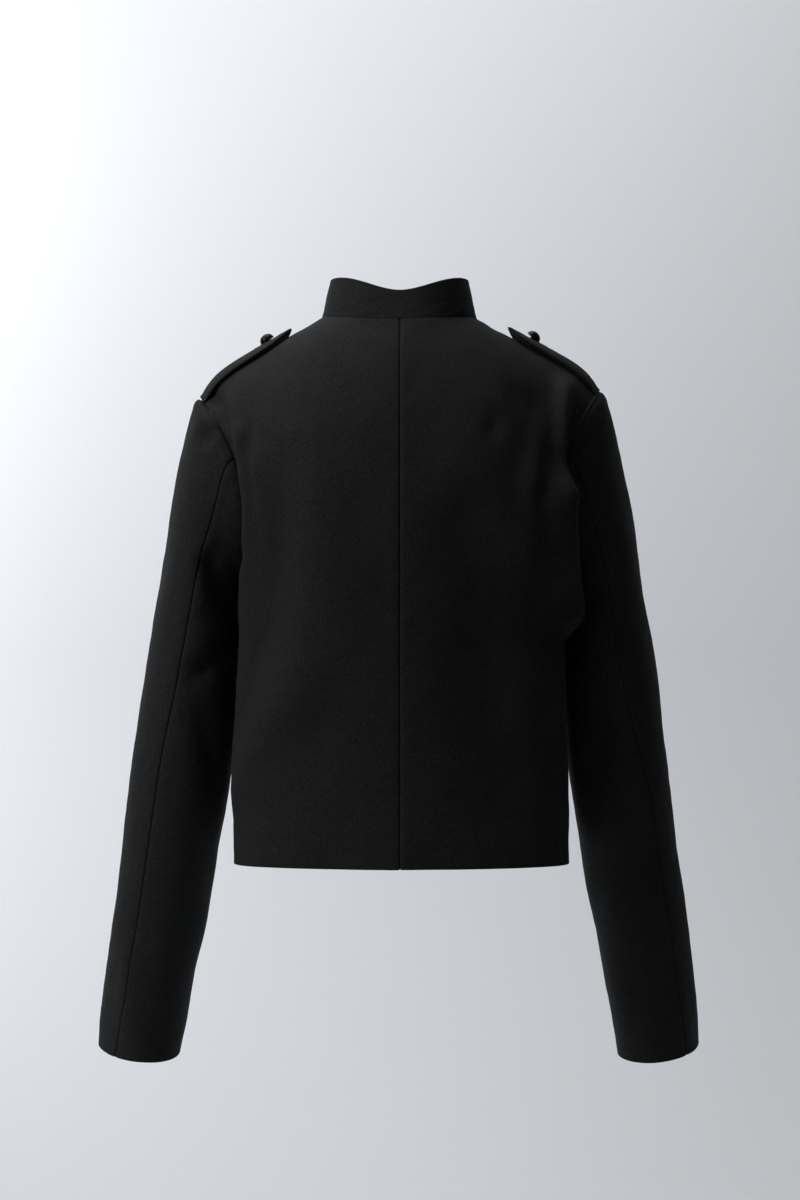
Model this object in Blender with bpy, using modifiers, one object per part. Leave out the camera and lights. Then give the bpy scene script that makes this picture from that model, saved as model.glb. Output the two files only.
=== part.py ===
"""Fitted jacket, filled out as when worn: cropped and boxy, with a stand collar, two-piece set-in sleeves, a
seam down the middle of the back and a buttoned strap on each shoulder. Metres, +Z up. The front faces -Y
and the wearer's left is +X. The origin is the middle of the neck opening, level with the neck ends of the
shoulders."""

import math

import bpy
import numpy as np
from mathutils import Matrix

WALL = 0.002  # thickness of the cloth
SEAM_GAP = 0.0003  # space left between two pieces along a seam
SAME_PLACE = 2e-6  # points this near belong to one seam
EVEN_DIAGONALS = 0.0003  # difference of length under which a rim's faces are split by height instead

# Cosines between a seam's shared normal and the faces of its cloths: under the first the normal is evened out
# between them, and down to the second the way through the cloth is made longer
SHARP_SEAM = 0.85
SHARPEST_MITRE = 0.6
MITRE_ROUNDS = 40

LEFT, RIGHT = 1, -1  # the wearer's sides, as the sign of x
BACK, FRONT = 1, -1  # as the sign of y

# Heights up a body panel: 0 at the hem, 1 at the underarm, 2 along the neck and shoulder
UNDERARM, SHOULDER = 1.0, 2.0
YOKE = 1.45  # where the flat of the panel starts to turn over the shoulder
OVER_SHOULDER = 1.35  # how flat it arrives at the shoulder seam, as a share of its depth at the yoke
OVER_NECK = {BACK: 2.05, FRONT: 1.47}  # the same at the neck's end of that seam
OVER_NECK_FADE = 0.35
STEP = 0.01  # of height, to measure a slope
EDGE_STEP = 0.002  # of the way across, to measure the direction of an edge
HEM_Z = -0.520
UNDERARM_Z = -0.240
UNDERARM_X = 0.1475
SHOULDER_X = 0.1910
SHOULDER_Z = {LEFT: -0.0780, RIGHT: -0.0715}

# Neck seam: half width, and depth and drop of its middle at the back and the front
NECK_X = 0.075
NECK_Y = {BACK: 0.062, FRONT: -0.075}
NECK_Z = {BACK: -0.0053, FRONT: -0.065}
NECK_ACROSS = 0.40  # share of a panel's top edge that is neck, the rest being shoulder

# Columns and rows of each panel's grid
NECK_COLUMNS = {BACK: 6, FRONT: 5}
LAP_COLUMNS = 4
SHOULDER_COLUMNS = 9
CLOSER_OUT = 1.3  # power by which the columns draw together towards the armhole
STRAP_ROWS = 12
SIDE_ROWS = 9
ARMHOLE_ROWS = 12
HALF_TURN = ARMHOLE_ROWS  # sleeve columns from the top of the armhole to the underarm
CAP_ROWS = 7
ARM_ROWS = 11
COLLAR_ROWS = 4

# The right front laps over the left one
LAP_ACROSS = 0.055  # how far each front runs past the middle, as a share of the panel
LAP_FADE = 0.12
LAP_LIFT = (WALL + SEAM_GAP) / 2

# Two-piece sleeve: columns, counted round from the top of the armhole over the back, where its seams run
BACK_SEAM = 5
FRONT_SEAM = 16
SEAM_BOW = 1.4  # columns by which the cap's back seam bows towards the underarm, fading over this many
SEAM_BOW_SPREAD = 5.0

# Collar's top edge
COLLAR_X = 0.0655
COLLAR_Y = {BACK: 0.055, FRONT: -0.0685}
COLLAR_BACK_Z = 0.0214
COLLAR_SIDE_Z = 0.0351
COLLAR_FRONT_Z = -0.031
COLLAR_CORNER = 0.012  # rounding of its front corners
COLLAR_DIP = 1.05  # how soon the back of its top edge reaches the height of its sides

# Shoulder straps
STRAP_HALF_WIDTH = 0.019
STRAP_END_HALF_WIDTH = 0.008
STRAP_COLUMNS = 6
OVER_SHOULDER_POINTS = 16
STRAP_ROUNDING = 0.014

# Buttons: a domed cap with a thin rim, on a shank
BUTTON_RADIUS = 0.0075
BUTTON_HEIGHT = 0.0078
SHANK_RADIUS = 0.0022
SHANK_HEIGHT = 0.0022
RIM_HEIGHT = 0.0010
DOME_RADIUS = 0.94 * BUTTON_RADIUS
BUTTON_FOOT_RADIUS = 0.86 * BUTTON_RADIUS
BUTTON_STEPS = 12
DOME_POINTS = 3
STRAP_BUTTON_X = 0.1300
STRAP_BUTTON_TILT = {LEFT: 3.0, RIGHT: 16.0}  # degrees, towards the sleeve
FRONT_BUTTONS = 5
FIRST_BUTTON_Z = -0.106
BUTTON_SPACING = 0.090

SHARP_EDGE = 40  # degrees
CLOTH_COLOUR = (0.022, 0.022, 0.024, 1.0)
CLOTH_ROUGHNESS = 0.9
BUTTON_COLOUR = (0.008, 0.008, 0.009, 1.0)
BUTTON_ROUGHNESS = 0.2


def table(names, rows):
    """The columns of a table, by name."""
    return dict(zip(names.split(), np.array(rows, float).T))


# Middle line of each face, from the hem up to the neck seam
CENTRE = {
    BACK: table(
        "v y z",
        (
            (0.00, 0.104, -0.520),
            (0.45, 0.1025, -0.415),
            (0.80, 0.107, -0.345),
            (1.00, 0.111, -0.300),
            (1.30, 0.1155, -0.205),
            (1.60, 0.106, -0.114),
            (1.85, 0.081, -0.043),
            (2.00, 0.062, -0.0053),
        ),
    ),
    FRONT: table(
        "v y z",
        (
            (0.00, -0.108, -0.520),
            (0.45, -0.111, -0.415),
            (0.80, -0.117, -0.345),
            (1.00, -0.121, -0.300),
            (1.30, -0.124, -0.215),
            (1.60, -0.108, -0.141),
            (1.85, -0.087, -0.089),
            (2.00, -0.075, -0.065),
        ),
    ),
}

# Form of each level across a panel: how far its middle runs flat, as a share of the half width, how far the
# cloth swells past the side seam on each side, and how round it turns into it
ACROSS = {
    BACK: table(
        "v reach left right round",
        (
            (0.00, 0.62, 0.042, 0.050, 0.066),
            (0.45, 0.62, 0.045, 0.050, 0.065),
            (0.80, 0.62, 0.036, 0.042, 0.068),
            (1.00, 0.62, 0.012, 0.016, 0.066),
            (1.30, 0.62, 0.006, 0.010, 0.050),
            (1.60, 0.60, 0.000, 0.002, 0.034),
            (2.00, 0.50, -0.010, -0.010, 0.010),
        ),
    ),
    FRONT: table(
        "v reach left right round",
        (
            (0.00, 0.60, 0.012, 0.012, 0.072),
            (0.45, 0.60, 0.012, 0.012, 0.074),
            (0.80, 0.62, 0.010, 0.010, 0.078),
            (1.00, 0.62, 0.008, 0.008, 0.070),
            (1.30, 0.60, 0.000, 0.000, 0.050),
            (1.60, 0.55, -0.006, -0.006, 0.032),
            (2.00, 0.50, -0.010, -0.010, 0.010),
        ),
    ),
}

# Side seam: half width of the body up to the underarm
SIDE_SEAM = table(
    "v x",
    (
        (0.00, 0.1470),
        (0.40, 0.1465),
        (0.70, 0.1450),
        (0.90, 0.1440),
        (1.00, UNDERARM_X),
    ),
)

# Armhole: half width of the body at each level of it, from the underarm (0) to the shoulder point (1)
ARMHOLE = table(
    "level back front",
    (
        (0.00, UNDERARM_X, UNDERARM_X),
        (0.15, 0.1447, 0.1425),
        (0.40, 0.1458, 0.1405),
        (0.52, 0.1508, 0.1432),
        (0.66, 0.1580, 0.1505),
        (0.79, 0.1680, 0.1620),
        (0.89, 0.1785, 0.1745),
        (1.00, SHOULDER_X, SHOULDER_X),
    ),
)
ARMHOLE_DEPTH = {BACK: 0.052, FRONT: 0.053}

# Shoulder seam: share of the way down from the neck to the shoulder point, at each distance out
SHOULDER_LINE = table(
    "x fall",
    (
        (0.075, 0.000),
        (0.090, 0.130),
        (0.105, 0.237),
        (0.136, 0.443),
        (0.160, 0.622),
        (0.172, 0.735),
        (0.182, 0.880),
        (0.191, 1.000),
    ),
)

# Sleeve rings from the upper arm (0) to the cuff (1): middle, two half sizes, turn of the oval, slopes of its
# plane sideways and backwards, and where the back and front seams cross it, in degrees round from its outside
SLEEVE = table(
    "s left right y z wide deep turn tilt lean seam_left seam_right seam_front",
    (
        (0.00, 0.1924, 0.1938, -0.023, -0.258, 0.0406, 0.059, 0.0, 9.0, 2.0, 86.0, 84.0, 236.0),
        (0.12, 0.1974, 0.1987, -0.025, -0.312, 0.0445, 0.057, 1.0, 9.0, 3.0, 78.0, 78.0, 234.0),
        (0.25, 0.2030, 0.2042, -0.026, -0.370, 0.0475, 0.0545, 4.0, 8.5, 6.0, 67.0, 68.0, 232.0),
        (0.40, 0.2129, 0.2129, -0.034, -0.440, 0.0482, 0.0520, 8.0, 8.0, 10.0, 57.0, 52.0, 230.0),
        (0.58, 0.2246, 0.2246, -0.048, -0.520, 0.0466, 0.0495, 13.0, 7.5, 12.0, 51.0, 42.0, 226.0),
        (0.76, 0.2388, 0.2385, -0.064, -0.600, 0.0447, 0.0485, 18.0, 6.5, 12.0, 45.0, 36.0, 222.0),
        (0.89, 0.2492, 0.2482, -0.077, -0.660, 0.0420, 0.0485, 22.0, 5.0, 11.0, 40.0, 30.0, 219.0),
        (1.00, 0.2570, 0.2553, -0.087, -0.7115, 0.0386, 0.0488, 25.0, 3.5, 10.0, 28.0, 20.0, 217.0),
    ),
)

# Sleeve cap at the underarm (-1), its sides (0) and its top (1): how far it runs on from the armhole seam,
# which way outwards and upwards, and how long it turns into the upper arm, as a share of the way
CAP_LEAVES = table(
    "level far out up reach",
    (
        (-1.0, 0.0090, 1.0, -0.80, 0.42),
        (-0.8, 0.0155, 1.0, -0.71, 0.44),
        (0.0, 0.0260, 1.0, -0.36, 0.52),
        (1.0, 0.0120, 1.0, 0.08, 0.62),
    ),
)
CAP_LEAVES_BACK = 0.15

# Shoulder strap from its sewn end (0) to its free tip (1): distance out along the shoulder, height of its
# underside over the shoulder, and thickness
STRAP = table(
    "s x lift thick",
    (
        (0.00, 0.1902, 0.0006, 0.0014),
        (0.08, 0.1835, 0.0008, 0.0030),
        (0.17, 0.1750, 0.0014, 0.0040),
        (0.27, 0.1660, 0.0008, 0.0042),
        (0.43, 0.1520, 0.0009, 0.0042),
        (0.62, 0.1350, 0.0013, 0.0042),
        (0.80, 0.1200, 0.0019, 0.0042),
        (0.92, 0.1100, 0.0028, 0.0040),
        (1.00, 0.1045, 0.0042, 0.0034),
    ),
)

# Largest folds, as soft ridges (+) and troughs (-) between two places: share of the way across the panel, or
# round the sleeve from its outside over the back, and height. Width and height are in metres.
FOLDS = {
    "back_left": table(
        "across0 z0 across1 z1 width height",
        (
            (0.84, -0.120, 0.80, -0.290, 0.016, 0.0070),
            (0.50, -0.150, 0.60, -0.345, 0.024, -0.0045),
            (0.27, -0.230, 0.42, -0.370, 0.026, 0.0030),
            (0.42, -0.370, 0.72, -0.455, 0.024, 0.0035),
            (0.62, -0.310, 0.70, -0.400, 0.014, -0.0030),
        ),
    ),
    "back_right": table(
        "across0 z0 across1 z1 width height",
        (
            (0.83, -0.075, 0.85, -0.150, 0.013, 0.0080),
            (0.83, -0.172, 0.815, -0.287, 0.018, 0.0300),
            (0.27, -0.200, 0.36, -0.460, 0.030, -0.0045),
            (0.52, -0.230, 0.55, -0.370, 0.026, 0.0035),
            (0.60, -0.090, 0.50, -0.150, 0.020, -0.0025),
        ),
    ),
    "front_left": table(
        "across0 z0 across1 z1 width height",
        (
            (0.34, -0.235, 0.36, -0.265, 0.050, 0.0080),
            (0.88, -0.170, 0.60, -0.215, 0.016, -0.0035),
            (0.66, -0.330, 0.74, -0.450, 0.024, -0.0040),
            (0.40, -0.350, 0.36, -0.480, 0.026, 0.0025),
        ),
    ),
    "front_right": table(
        "across0 z0 across1 z1 width height",
        (
            (0.34, -0.235, 0.36, -0.265, 0.050, 0.0080),
            (0.86, -0.190, 0.62, -0.225, 0.018, -0.0040),
            (0.60, -0.310, 0.72, -0.430, 0.022, -0.0035),
            (0.46, -0.400, 0.40, -0.500, 0.024, 0.0030),
        ),
    ),
    "sleeve_left": table(
        "across0 z0 across1 z1 width height",
        (
            (0.28, -0.235, 0.41, -0.290, 0.012, -0.0060),
            (0.44, -0.300, 0.30, -0.335, 0.011, -0.0050),
            (0.25, -0.345, 0.38, -0.450, 0.015, -0.0035),
            (0.66, -0.300, 0.78, -0.370, 0.014, -0.0045),
            (0.62, -0.420, 0.80, -0.455, 0.013, -0.0050),
            (0.80, -0.480, 0.68, -0.540, 0.014, -0.0030),
            (0.10, -0.620, 0.16, -0.700, 0.014, 0.0025),
        ),
    ),
    "sleeve_right": table(
        "across0 z0 across1 z1 width height",
        (
            (0.20, -0.110, 0.27, -0.150, 0.012, -0.0050),
            (0.30, -0.270, 0.42, -0.310, 0.013, -0.0055),
            (0.24, -0.360, 0.36, -0.470, 0.016, -0.0035),
            (0.70, -0.290, 0.80, -0.350, 0.014, -0.0045),
            (0.64, -0.400, 0.79, -0.440, 0.014, -0.0050),
            (0.76, -0.500, 0.66, -0.560, 0.014, -0.0030),
        ),
    ),
}
PANEL_GIRTH = 0.215  # metres across a panel, for the spread of a fold
SLEEVE_GIRTH = 0.300
FOLD_FADE_ACROSS = 0.13
FOLD_FADE_UP = 0.14
FOLD_FADE_CAP = 0.25


def hermite(start, start_slope, end, end_slope, t):
    rest = 1 - t
    return (
        (1 + 2 * t) * rest**2 * start
        + t * rest**2 * start_slope
        + t**2 * (3 - 2 * t) * end
        - t**2 * rest * end_slope
    )


def bezier(a, b, c, d, t):
    rest = 1 - t
    return rest**3 * a + 3 * rest**2 * t * b + 3 * rest * t**2 * c + t**3 * d


def ease(t):
    """0 up to t = 0, 1 from t = 1 on, and smooth between."""
    t = np.clip(t, 0.0, 1.0)
    return t * t * (3 - 2 * t)


def read(rows, column, at, by="v"):
    """A table's column at any place between its rows, on a smooth curve through them."""
    places, values = rows[by], rows[column]
    slopes = np.gradient(values, places)
    at = np.clip(at, places[0], places[-1])
    row = np.clip(np.searchsorted(places, at) - 1, 0, len(places) - 2)
    span = places[row + 1] - places[row]
    return hermite(
        values[row],
        slopes[row] * span,
        values[row + 1],
        slopes[row + 1] * span,
        (at - places[row]) / span,
    )


def centre_point(face, v):
    return np.array([0.0, read(CENTRE[face], "y", v), read(CENTRE[face], "z", v)])


def armhole_point(side, face, up):
    """A point of the armhole seam, from the underarm (up = 0) to the shoulder point (1), with x outwards."""
    turn = math.pi * (1 - up)
    level = (1 + math.cos(turn)) / 2
    x = read(ARMHOLE, "back" if face == BACK else "front", level, "level")
    y = face * ARMHOLE_DEPTH[face] * math.sin(turn)
    return np.array([x, y, UNDERARM_Z + (SHOULDER_Z[side] - UNDERARM_Z) * level])


def side_point(side, face, v):
    """A point of the panel's outer edge: the side seam up to the underarm, then the armhole."""
    if v > UNDERARM:
        return armhole_point(side, face, v - UNDERARM)
    return np.array([read(SIDE_SEAM, "x", v), 0.0, HEM_Z + (UNDERARM_Z - HEM_Z) * v])


def level_line(side, face, across, v):
    """Points across a panel from its middle (0) to its side (1), at one level."""
    middle, end = centre_point(face, v), side_point(side, face, v)
    swell = read(ACROSS[face], "left" if side == LEFT else "right", v)
    corner_y = end[1] + face * read(ACROSS[face], "round", v)
    x = bezier(0.0, read(ACROSS[face], "reach", v) * end[0], end[0] + swell, end[0], across)
    y = bezier(middle[1], middle[1], corner_y, end[1], across)
    z = middle[2] + (end[2] - middle[2]) * across**2
    return np.stack([x, y, z], axis=-1)


def neck_line(face, turn):
    """The neck seam, from the middle (turn = 0) to the shoulder (a quarter turn)."""
    cosine = np.cos(turn)
    z = NECK_Z[face] * cosine**2
    return np.stack([NECK_X * np.sin(turn), NECK_Y[face] * cosine, z], axis=-1)


def top_line(side, face, across):
    """A panel's top edge: the neck seam, then the shoulder seam."""
    neck = neck_line(face, math.pi / 2 * np.minimum(across / NECK_ACROSS, 1.0))
    out = np.clip((across - NECK_ACROSS) / (1 - NECK_ACROSS), 0.0, 1.0)
    x = NECK_X + (SHOULDER_X - NECK_X) * out
    z = SHOULDER_Z[side] * read(SHOULDER_LINE, "fall", x, "x")
    shoulder = np.stack([x, np.zeros_like(x), z], axis=-1)
    return np.where((across <= NECK_ACROSS)[:, None], neck, shoulder)


def neck_facing(side, face, across, near_middle, middle_slope):
    """Which way a panel faces along its top edge, so that it turns evenly from its middle to the shoulder."""
    middle = unit(face * np.array([0.0, middle_slope[2], -middle_slope[1]]))
    fall = SHOULDER_Z[side] * read(SHOULDER_LINE, "fall", NECK_X + STEP, "x") / STEP
    shoulder = unit(np.array([-fall, 0.0, 1.0]))
    facing = near_middle * middle + (1 - near_middle) * shoulder
    along = unit(top_line(side, face, across + EDGE_STEP) - top_line(side, face, across - EDGE_STEP))
    return facing - (facing * along).sum(axis=1)[:, None] * along


def over_shoulder(side, face, across, v):
    """Points across a panel where it turns over the shoulder, between the yoke level and the top edge."""
    length = SHOULDER - YOKE
    start = level_line(side, face, across, YOKE)
    start_slope = (start - level_line(side, face, across, YOKE - STEP)) / STEP * length
    end = top_line(side, face, across)
    middle_slope = (centre_point(face, SHOULDER) - centre_point(face, SHOULDER - STEP)) / STEP * length
    near_middle = np.cos(math.pi / 2 * np.minimum(across / NECK_ACROSS, 1.0))[:, None]
    facing = neck_facing(side, face, across, near_middle, middle_slope)
    end_slope = np.zeros_like(start)
    flat = OVER_NECK[face] + (OVER_SHOULDER - OVER_NECK[face]) * ease((across - NECK_ACROSS) / OVER_NECK_FADE)
    end_slope[:, 1] = near_middle[:, 0] * middle_slope[1] - (1 - near_middle[:, 0]) * flat * start[:, 1]
    end_slope[:, 2] = -facing[:, 1] * end_slope[:, 1] / facing[:, 2]
    return hermite(start, start_slope, end, end_slope, (v - YOKE) / length)


def panel_line(side, face, across, v):
    """Points of a body panel's outer surface at one level. Past the middle, across is below 0."""
    far = np.abs(across)
    lines = {}
    for where in (side, -side):
        if v <= YOKE:
            line = level_line(where, face, far, v)
        else:
            ends = over_shoulder(where, face, np.array([0.0, 1.0]), v)
            line = over_shoulder(where, face, far, v)
            line = line + (1 - far[:, None]) ** 3 * (centre_point(face, v) - ends[0])
            line = line + far[:, None] ** 3 * (side_point(where, face, v) - ends[1])
        lines[where] = line * (where, 1, 1)
    return np.where((across < 0)[:, None], lines[-side], lines[side])


def panel_columns(face, scale=1):
    """Places across a panel: along the neck, then along the shoulder, closer together near the armhole."""
    if face == FRONT:
        lap = np.linspace(-LAP_ACROSS, LAP_ACROSS, LAP_COLUMNS * scale + 1)
        rest = np.linspace(LAP_ACROSS, NECK_ACROSS, NECK_COLUMNS[face] * scale + 1)
        neck = np.concatenate([lap, rest[1:]])
    else:
        neck = np.linspace(0.0, NECK_ACROSS, NECK_COLUMNS[face] * scale + 1)
    left = 1 - np.linspace(0.0, 1.0, SHOULDER_COLUMNS * scale + 1)[1:]
    return np.concatenate([neck, NECK_ACROSS + (1 - NECK_ACROSS) * (1 - left**CLOSER_OUT)])


def panel_rows(scale=1):
    below = np.linspace(0.0, UNDERARM, SIDE_ROWS * scale + 1)
    return np.concatenate([below, np.linspace(UNDERARM, SHOULDER, ARMHOLE_ROWS * scale + 1)[1:]])


def sleeve_angles(side, s, columns):
    """Degrees round a sleeve ring for its columns, so that two of them run along the seams."""
    seam = read(SLEEVE, "seam_left" if side == LEFT else "seam_right", s, "s")
    front = read(SLEEVE, "seam_front", s, "s")
    known = (FRONT_SEAM - 2 * HALF_TURN, 0, BACK_SEAM, HALF_TURN, FRONT_SEAM, 2 * HALF_TURN)
    return np.interp(columns, known, (front - 360, 0, seam, 180, front, 360))


def sleeve_ring(side, s, columns):
    """Points round a sleeve, from the upper arm (s = 0) to the cuff (1), with x outwards."""
    angle = np.radians(sleeve_angles(side, s, columns))
    turn, tilt, lean = (math.radians(read(SLEEVE, name, s, "s")) for name in ("turn", "tilt", "lean"))
    wide = read(SLEEVE, "wide", s, "s") * np.cos(angle)
    deep = read(SLEEVE, "deep", s, "s") * np.sin(angle)
    out = wide * math.cos(turn) - deep * math.sin(turn)
    back = wide * math.sin(turn) + deep * math.cos(turn)
    x = read(SLEEVE, "left" if side == LEFT else "right", s, "s")
    middle = np.array([x, read(SLEEVE, "y", s, "s"), read(SLEEVE, "z", s, "s")])
    outwards = np.array([math.cos(tilt), 0.0, math.sin(tilt)])
    backwards = np.array([0.0, math.cos(lean), -math.sin(lean)])
    return middle + out[:, None] * outwards + back[:, None] * backwards


def sleeve_cap(side, t, columns):
    """Points round the sleeve cap, from the armhole seam (t = 0) to the upper arm (1), with x outwards."""
    near_seam = ease(1 - np.abs(columns - BACK_SEAM) / SEAM_BOW_SPREAD)
    columns = columns + SEAM_BOW * math.sin(math.pi * t) ** 2 * near_seam
    wrapped = np.mod(columns, 2 * HALF_TURN)
    seam = np.array(
        [armhole_point(side, BACK if k <= HALF_TURN else FRONT, abs(1 - k / HALF_TURN)) for k in wrapped]
    )
    ring = sleeve_ring(side, 0.0, columns)
    turn = math.pi * wrapped / HALF_TURN
    level, sideways = np.cos(turn), np.sin(turn)
    far, out, up, reach = (read(CAP_LEAVES, name, level, "level") for name in ("far", "out", "up", "reach"))
    away = np.stack([out, CAP_LEAVES_BACK * sideways, up], axis=-1)
    reach = reach * np.linalg.norm(ring - seam, axis=1)
    down = unit(sleeve_ring(side, STEP, columns) - ring)
    return bezier(seam, seam + far[:, None] * away, ring - reach[:, None] * down, ring, t)


def sleeve_grid(side, columns, scale=1):
    """A sleeve piece's points, row by row from the armhole to the cuff, and the places and fade of folds."""
    cap = np.linspace(0.0, 1.0, CAP_ROWS * scale + 1)
    arm = np.linspace(0.0, 1.0, ARM_ROWS * scale + 1)[1:]
    points = [sleeve_cap(side, t, columns) for t in cap] + [sleeve_ring(side, s, columns) for s in arm]
    places = [sleeve_angles(side, 0.0, columns) / 360 for t in cap]
    places += [sleeve_angles(side, s, columns) / 360 for s in arm]
    fade = np.concatenate([ease(cap / FOLD_FADE_CAP), np.ones(len(arm))])
    return np.array(points) * (side, 1, 1), np.array(places), fade[:, None]


def collar_top(face, turn):
    """The collar's top edge, from the middle (turn = 0) to the side (a quarter turn)."""
    rise = np.abs(np.sin(turn))
    if face == BACK:
        z = COLLAR_BACK_Z + (COLLAR_SIDE_Z - COLLAR_BACK_Z) * ease(COLLAR_DIP * rise)
    else:
        z = COLLAR_FRONT_Z + (COLLAR_SIDE_Z - COLLAR_FRONT_Z) * rise**1.5
    return np.stack([COLLAR_X * np.sin(turn), COLLAR_Y[face] * np.cos(turn), z], axis=-1)


def collar_half(side, face, scale=1):
    """Columns of the collar from the middle to the side, each from the neck seam up to the top edge."""
    columns = panel_columns(face, scale)
    columns = columns[(columns >= 0) & (columns <= NECK_ACROSS + 1e-9)]
    turn = math.pi / 2 * columns / NECK_ACROSS
    low, high = neck_line(face, turn), collar_top(face, turn)
    if face == FRONT:
        from_end = NECK_X * turn
        short = COLLAR_CORNER - np.sqrt(COLLAR_CORNER**2 - np.clip(COLLAR_CORNER - from_end, 0, None) ** 2)
        height = np.linalg.norm(high - low, axis=1)
        high = high - (high - low) * (short / height)[:, None]
    up = np.linspace(0.0, 1.0, COLLAR_ROWS * scale + 1)[:, None, None]
    return (low + (high - low) * up) * (side, 1, 1)


def collar_grid(scale=1):
    """The collar's points, row by row upwards, from its right front end round the back to its left."""
    right_front = collar_half(RIGHT, FRONT, scale)
    right_back = collar_half(RIGHT, BACK, scale)[:, ::-1]
    left_back = collar_half(LEFT, BACK, scale)
    left_front = collar_half(LEFT, FRONT, scale)[:, ::-1]
    return np.concatenate([right_front, right_back[:, 1:], left_back[:, 1:], left_front[:, 1:]], axis=1)


def fold_heights(folds, across, z, girth):
    """How far the folds lift each point. Each is a soft ridge or trough along the line between two places."""
    total = np.zeros_like(z)
    for across0, z0, across1, z1, width, height in zip(*folds.values()):
        run_across, run_up = (across1 - across0) * girth, z1 - z0
        from_across, from_up = (across - across0) * girth, z - z0
        share = (from_across * run_across + from_up * run_up) / (run_across**2 + run_up**2)
        share = np.clip(share, 0.0, 1.0)
        apart = np.hypot(from_across - share * run_across, from_up - share * run_up)
        total = total + height * np.exp(-((apart / width) ** 2))
    return total


def shared_points(grids):
    """A number for the place of every point of some grids, the same number where pieces meet."""
    points = np.concatenate([grid.reshape(-1, 3) for grid in grids])
    places = np.round(points / SAME_PLACE + 0.37).astype(np.int64)
    return np.unique(places, axis=0, return_inverse=True)[1].reshape(-1)


def split_like(grids, values):
    """A list of values, one for each point of all the grids, as one array for each grid."""
    ends = np.cumsum([grid.shape[0] * grid.shape[1] for grid in grids])[:-1]
    return [part.reshape(grid.shape[:2] + (-1,)) for grid, part in zip(grids, np.split(values, ends))]


def unit(vectors):
    return vectors / np.maximum(np.linalg.norm(vectors, axis=-1), 1e-12)[..., None]


def grid_faces(grids, flips):
    """The four corners of each face of all the grids, as points of the one list, and its area as a vector."""
    corners, areas, start = [], [], 0
    for grid, flip in zip(grids, flips):
        rows, columns = grid.shape[:2]
        index = start + np.arange(rows * columns).reshape(rows, columns)
        start += rows * columns
        quads = (index[:-1, :-1], index[:-1, 1:], index[1:, 1:], index[1:, :-1])
        corners.append(np.stack(quads, axis=-1).reshape(-1, 4))
        area = np.cross(grid[1:, 1:] - grid[:-1, :-1], grid[1:, :-1] - grid[:-1, 1:])
        areas.append(area.reshape(-1, 3) * (-0.5 if flip else 0.5))
    return np.concatenate(corners), np.concatenate(areas)


def shared_normals(grids, flips):
    """Normals of each grid, the same where pieces meet, and how much longer than its thickness the way
    through the cloth is there. At a sharp seam the normal leans evenly from the faces on both sides."""
    same = shared_points(grids)
    corners, areas = grid_faces(grids, flips)
    place = same[corners].reshape(-1)
    faces = np.repeat(areas, 4, axis=0)
    normals = np.zeros((same.max() + 1, 3))
    np.add.at(normals, place, faces)
    normals, faces = unit(normals), unit(faces)
    seen = np.linalg.norm(faces, axis=1) > 0.5
    place, faces = place[seen], faces[seen]
    for k in range(MITRE_ROUNDS + 1):
        facing = (normals[place] * faces).sum(axis=1)
        least = np.ones(len(normals))
        np.minimum.at(least, place, facing)
        if k < MITRE_ROUNDS:
            push = np.zeros_like(normals)
            worst = (facing < least[place] + 1e-6) & (least[place] < SHARP_SEAM)
            np.add.at(push, place[worst], faces[worst])
            normals = unit(normals + unit(push) * (least < SHARP_SEAM)[:, None] / (3 + k))
    longer = 1 / np.clip(least, SHARPEST_MITRE, 1.0)
    return split_like(grids, normals[same]), split_like(grids, longer[same])


def inwards(grid):
    """At the points of a grid's four edges, the way into the piece, square to the edge."""
    ways = np.zeros_like(grid)
    for line, way in ((grid, ways), (grid.swapaxes(0, 1), ways.swapaxes(0, 1))):
        for edge, inside in ((0, 1), (-1, -2)):
            along = unit(np.gradient(line[edge], axis=0))
            into = line[inside] - line[edge]
            way[edge] += unit(into - (into * along).sum(axis=1)[:, None] * along)
    return ways


def seam_pulls(grids):
    """Moves that draw each piece half a seam gap back from the pieces that it meets."""
    same = shared_points(grids)
    own = np.concatenate([inwards(grid).reshape(-1, 3) for grid in grids])
    edge = np.linalg.norm(own, axis=1) > 0
    total = np.zeros((same.max() + 1, 3))
    np.add.at(total, same[edge], own[edge])
    meeting = np.bincount(same[edge], minlength=len(total))[same]
    others = total[same] - own
    alone = np.linalg.norm(others, axis=1) < 1e-6
    others[alone] = -own[alone]
    apart = unit(unit(own) - unit(others)) * edge[:, None]
    return split_like(grids, apart * np.sqrt(np.maximum(meeting - 1, 1))[:, None] * SEAM_GAP / 2)


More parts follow.
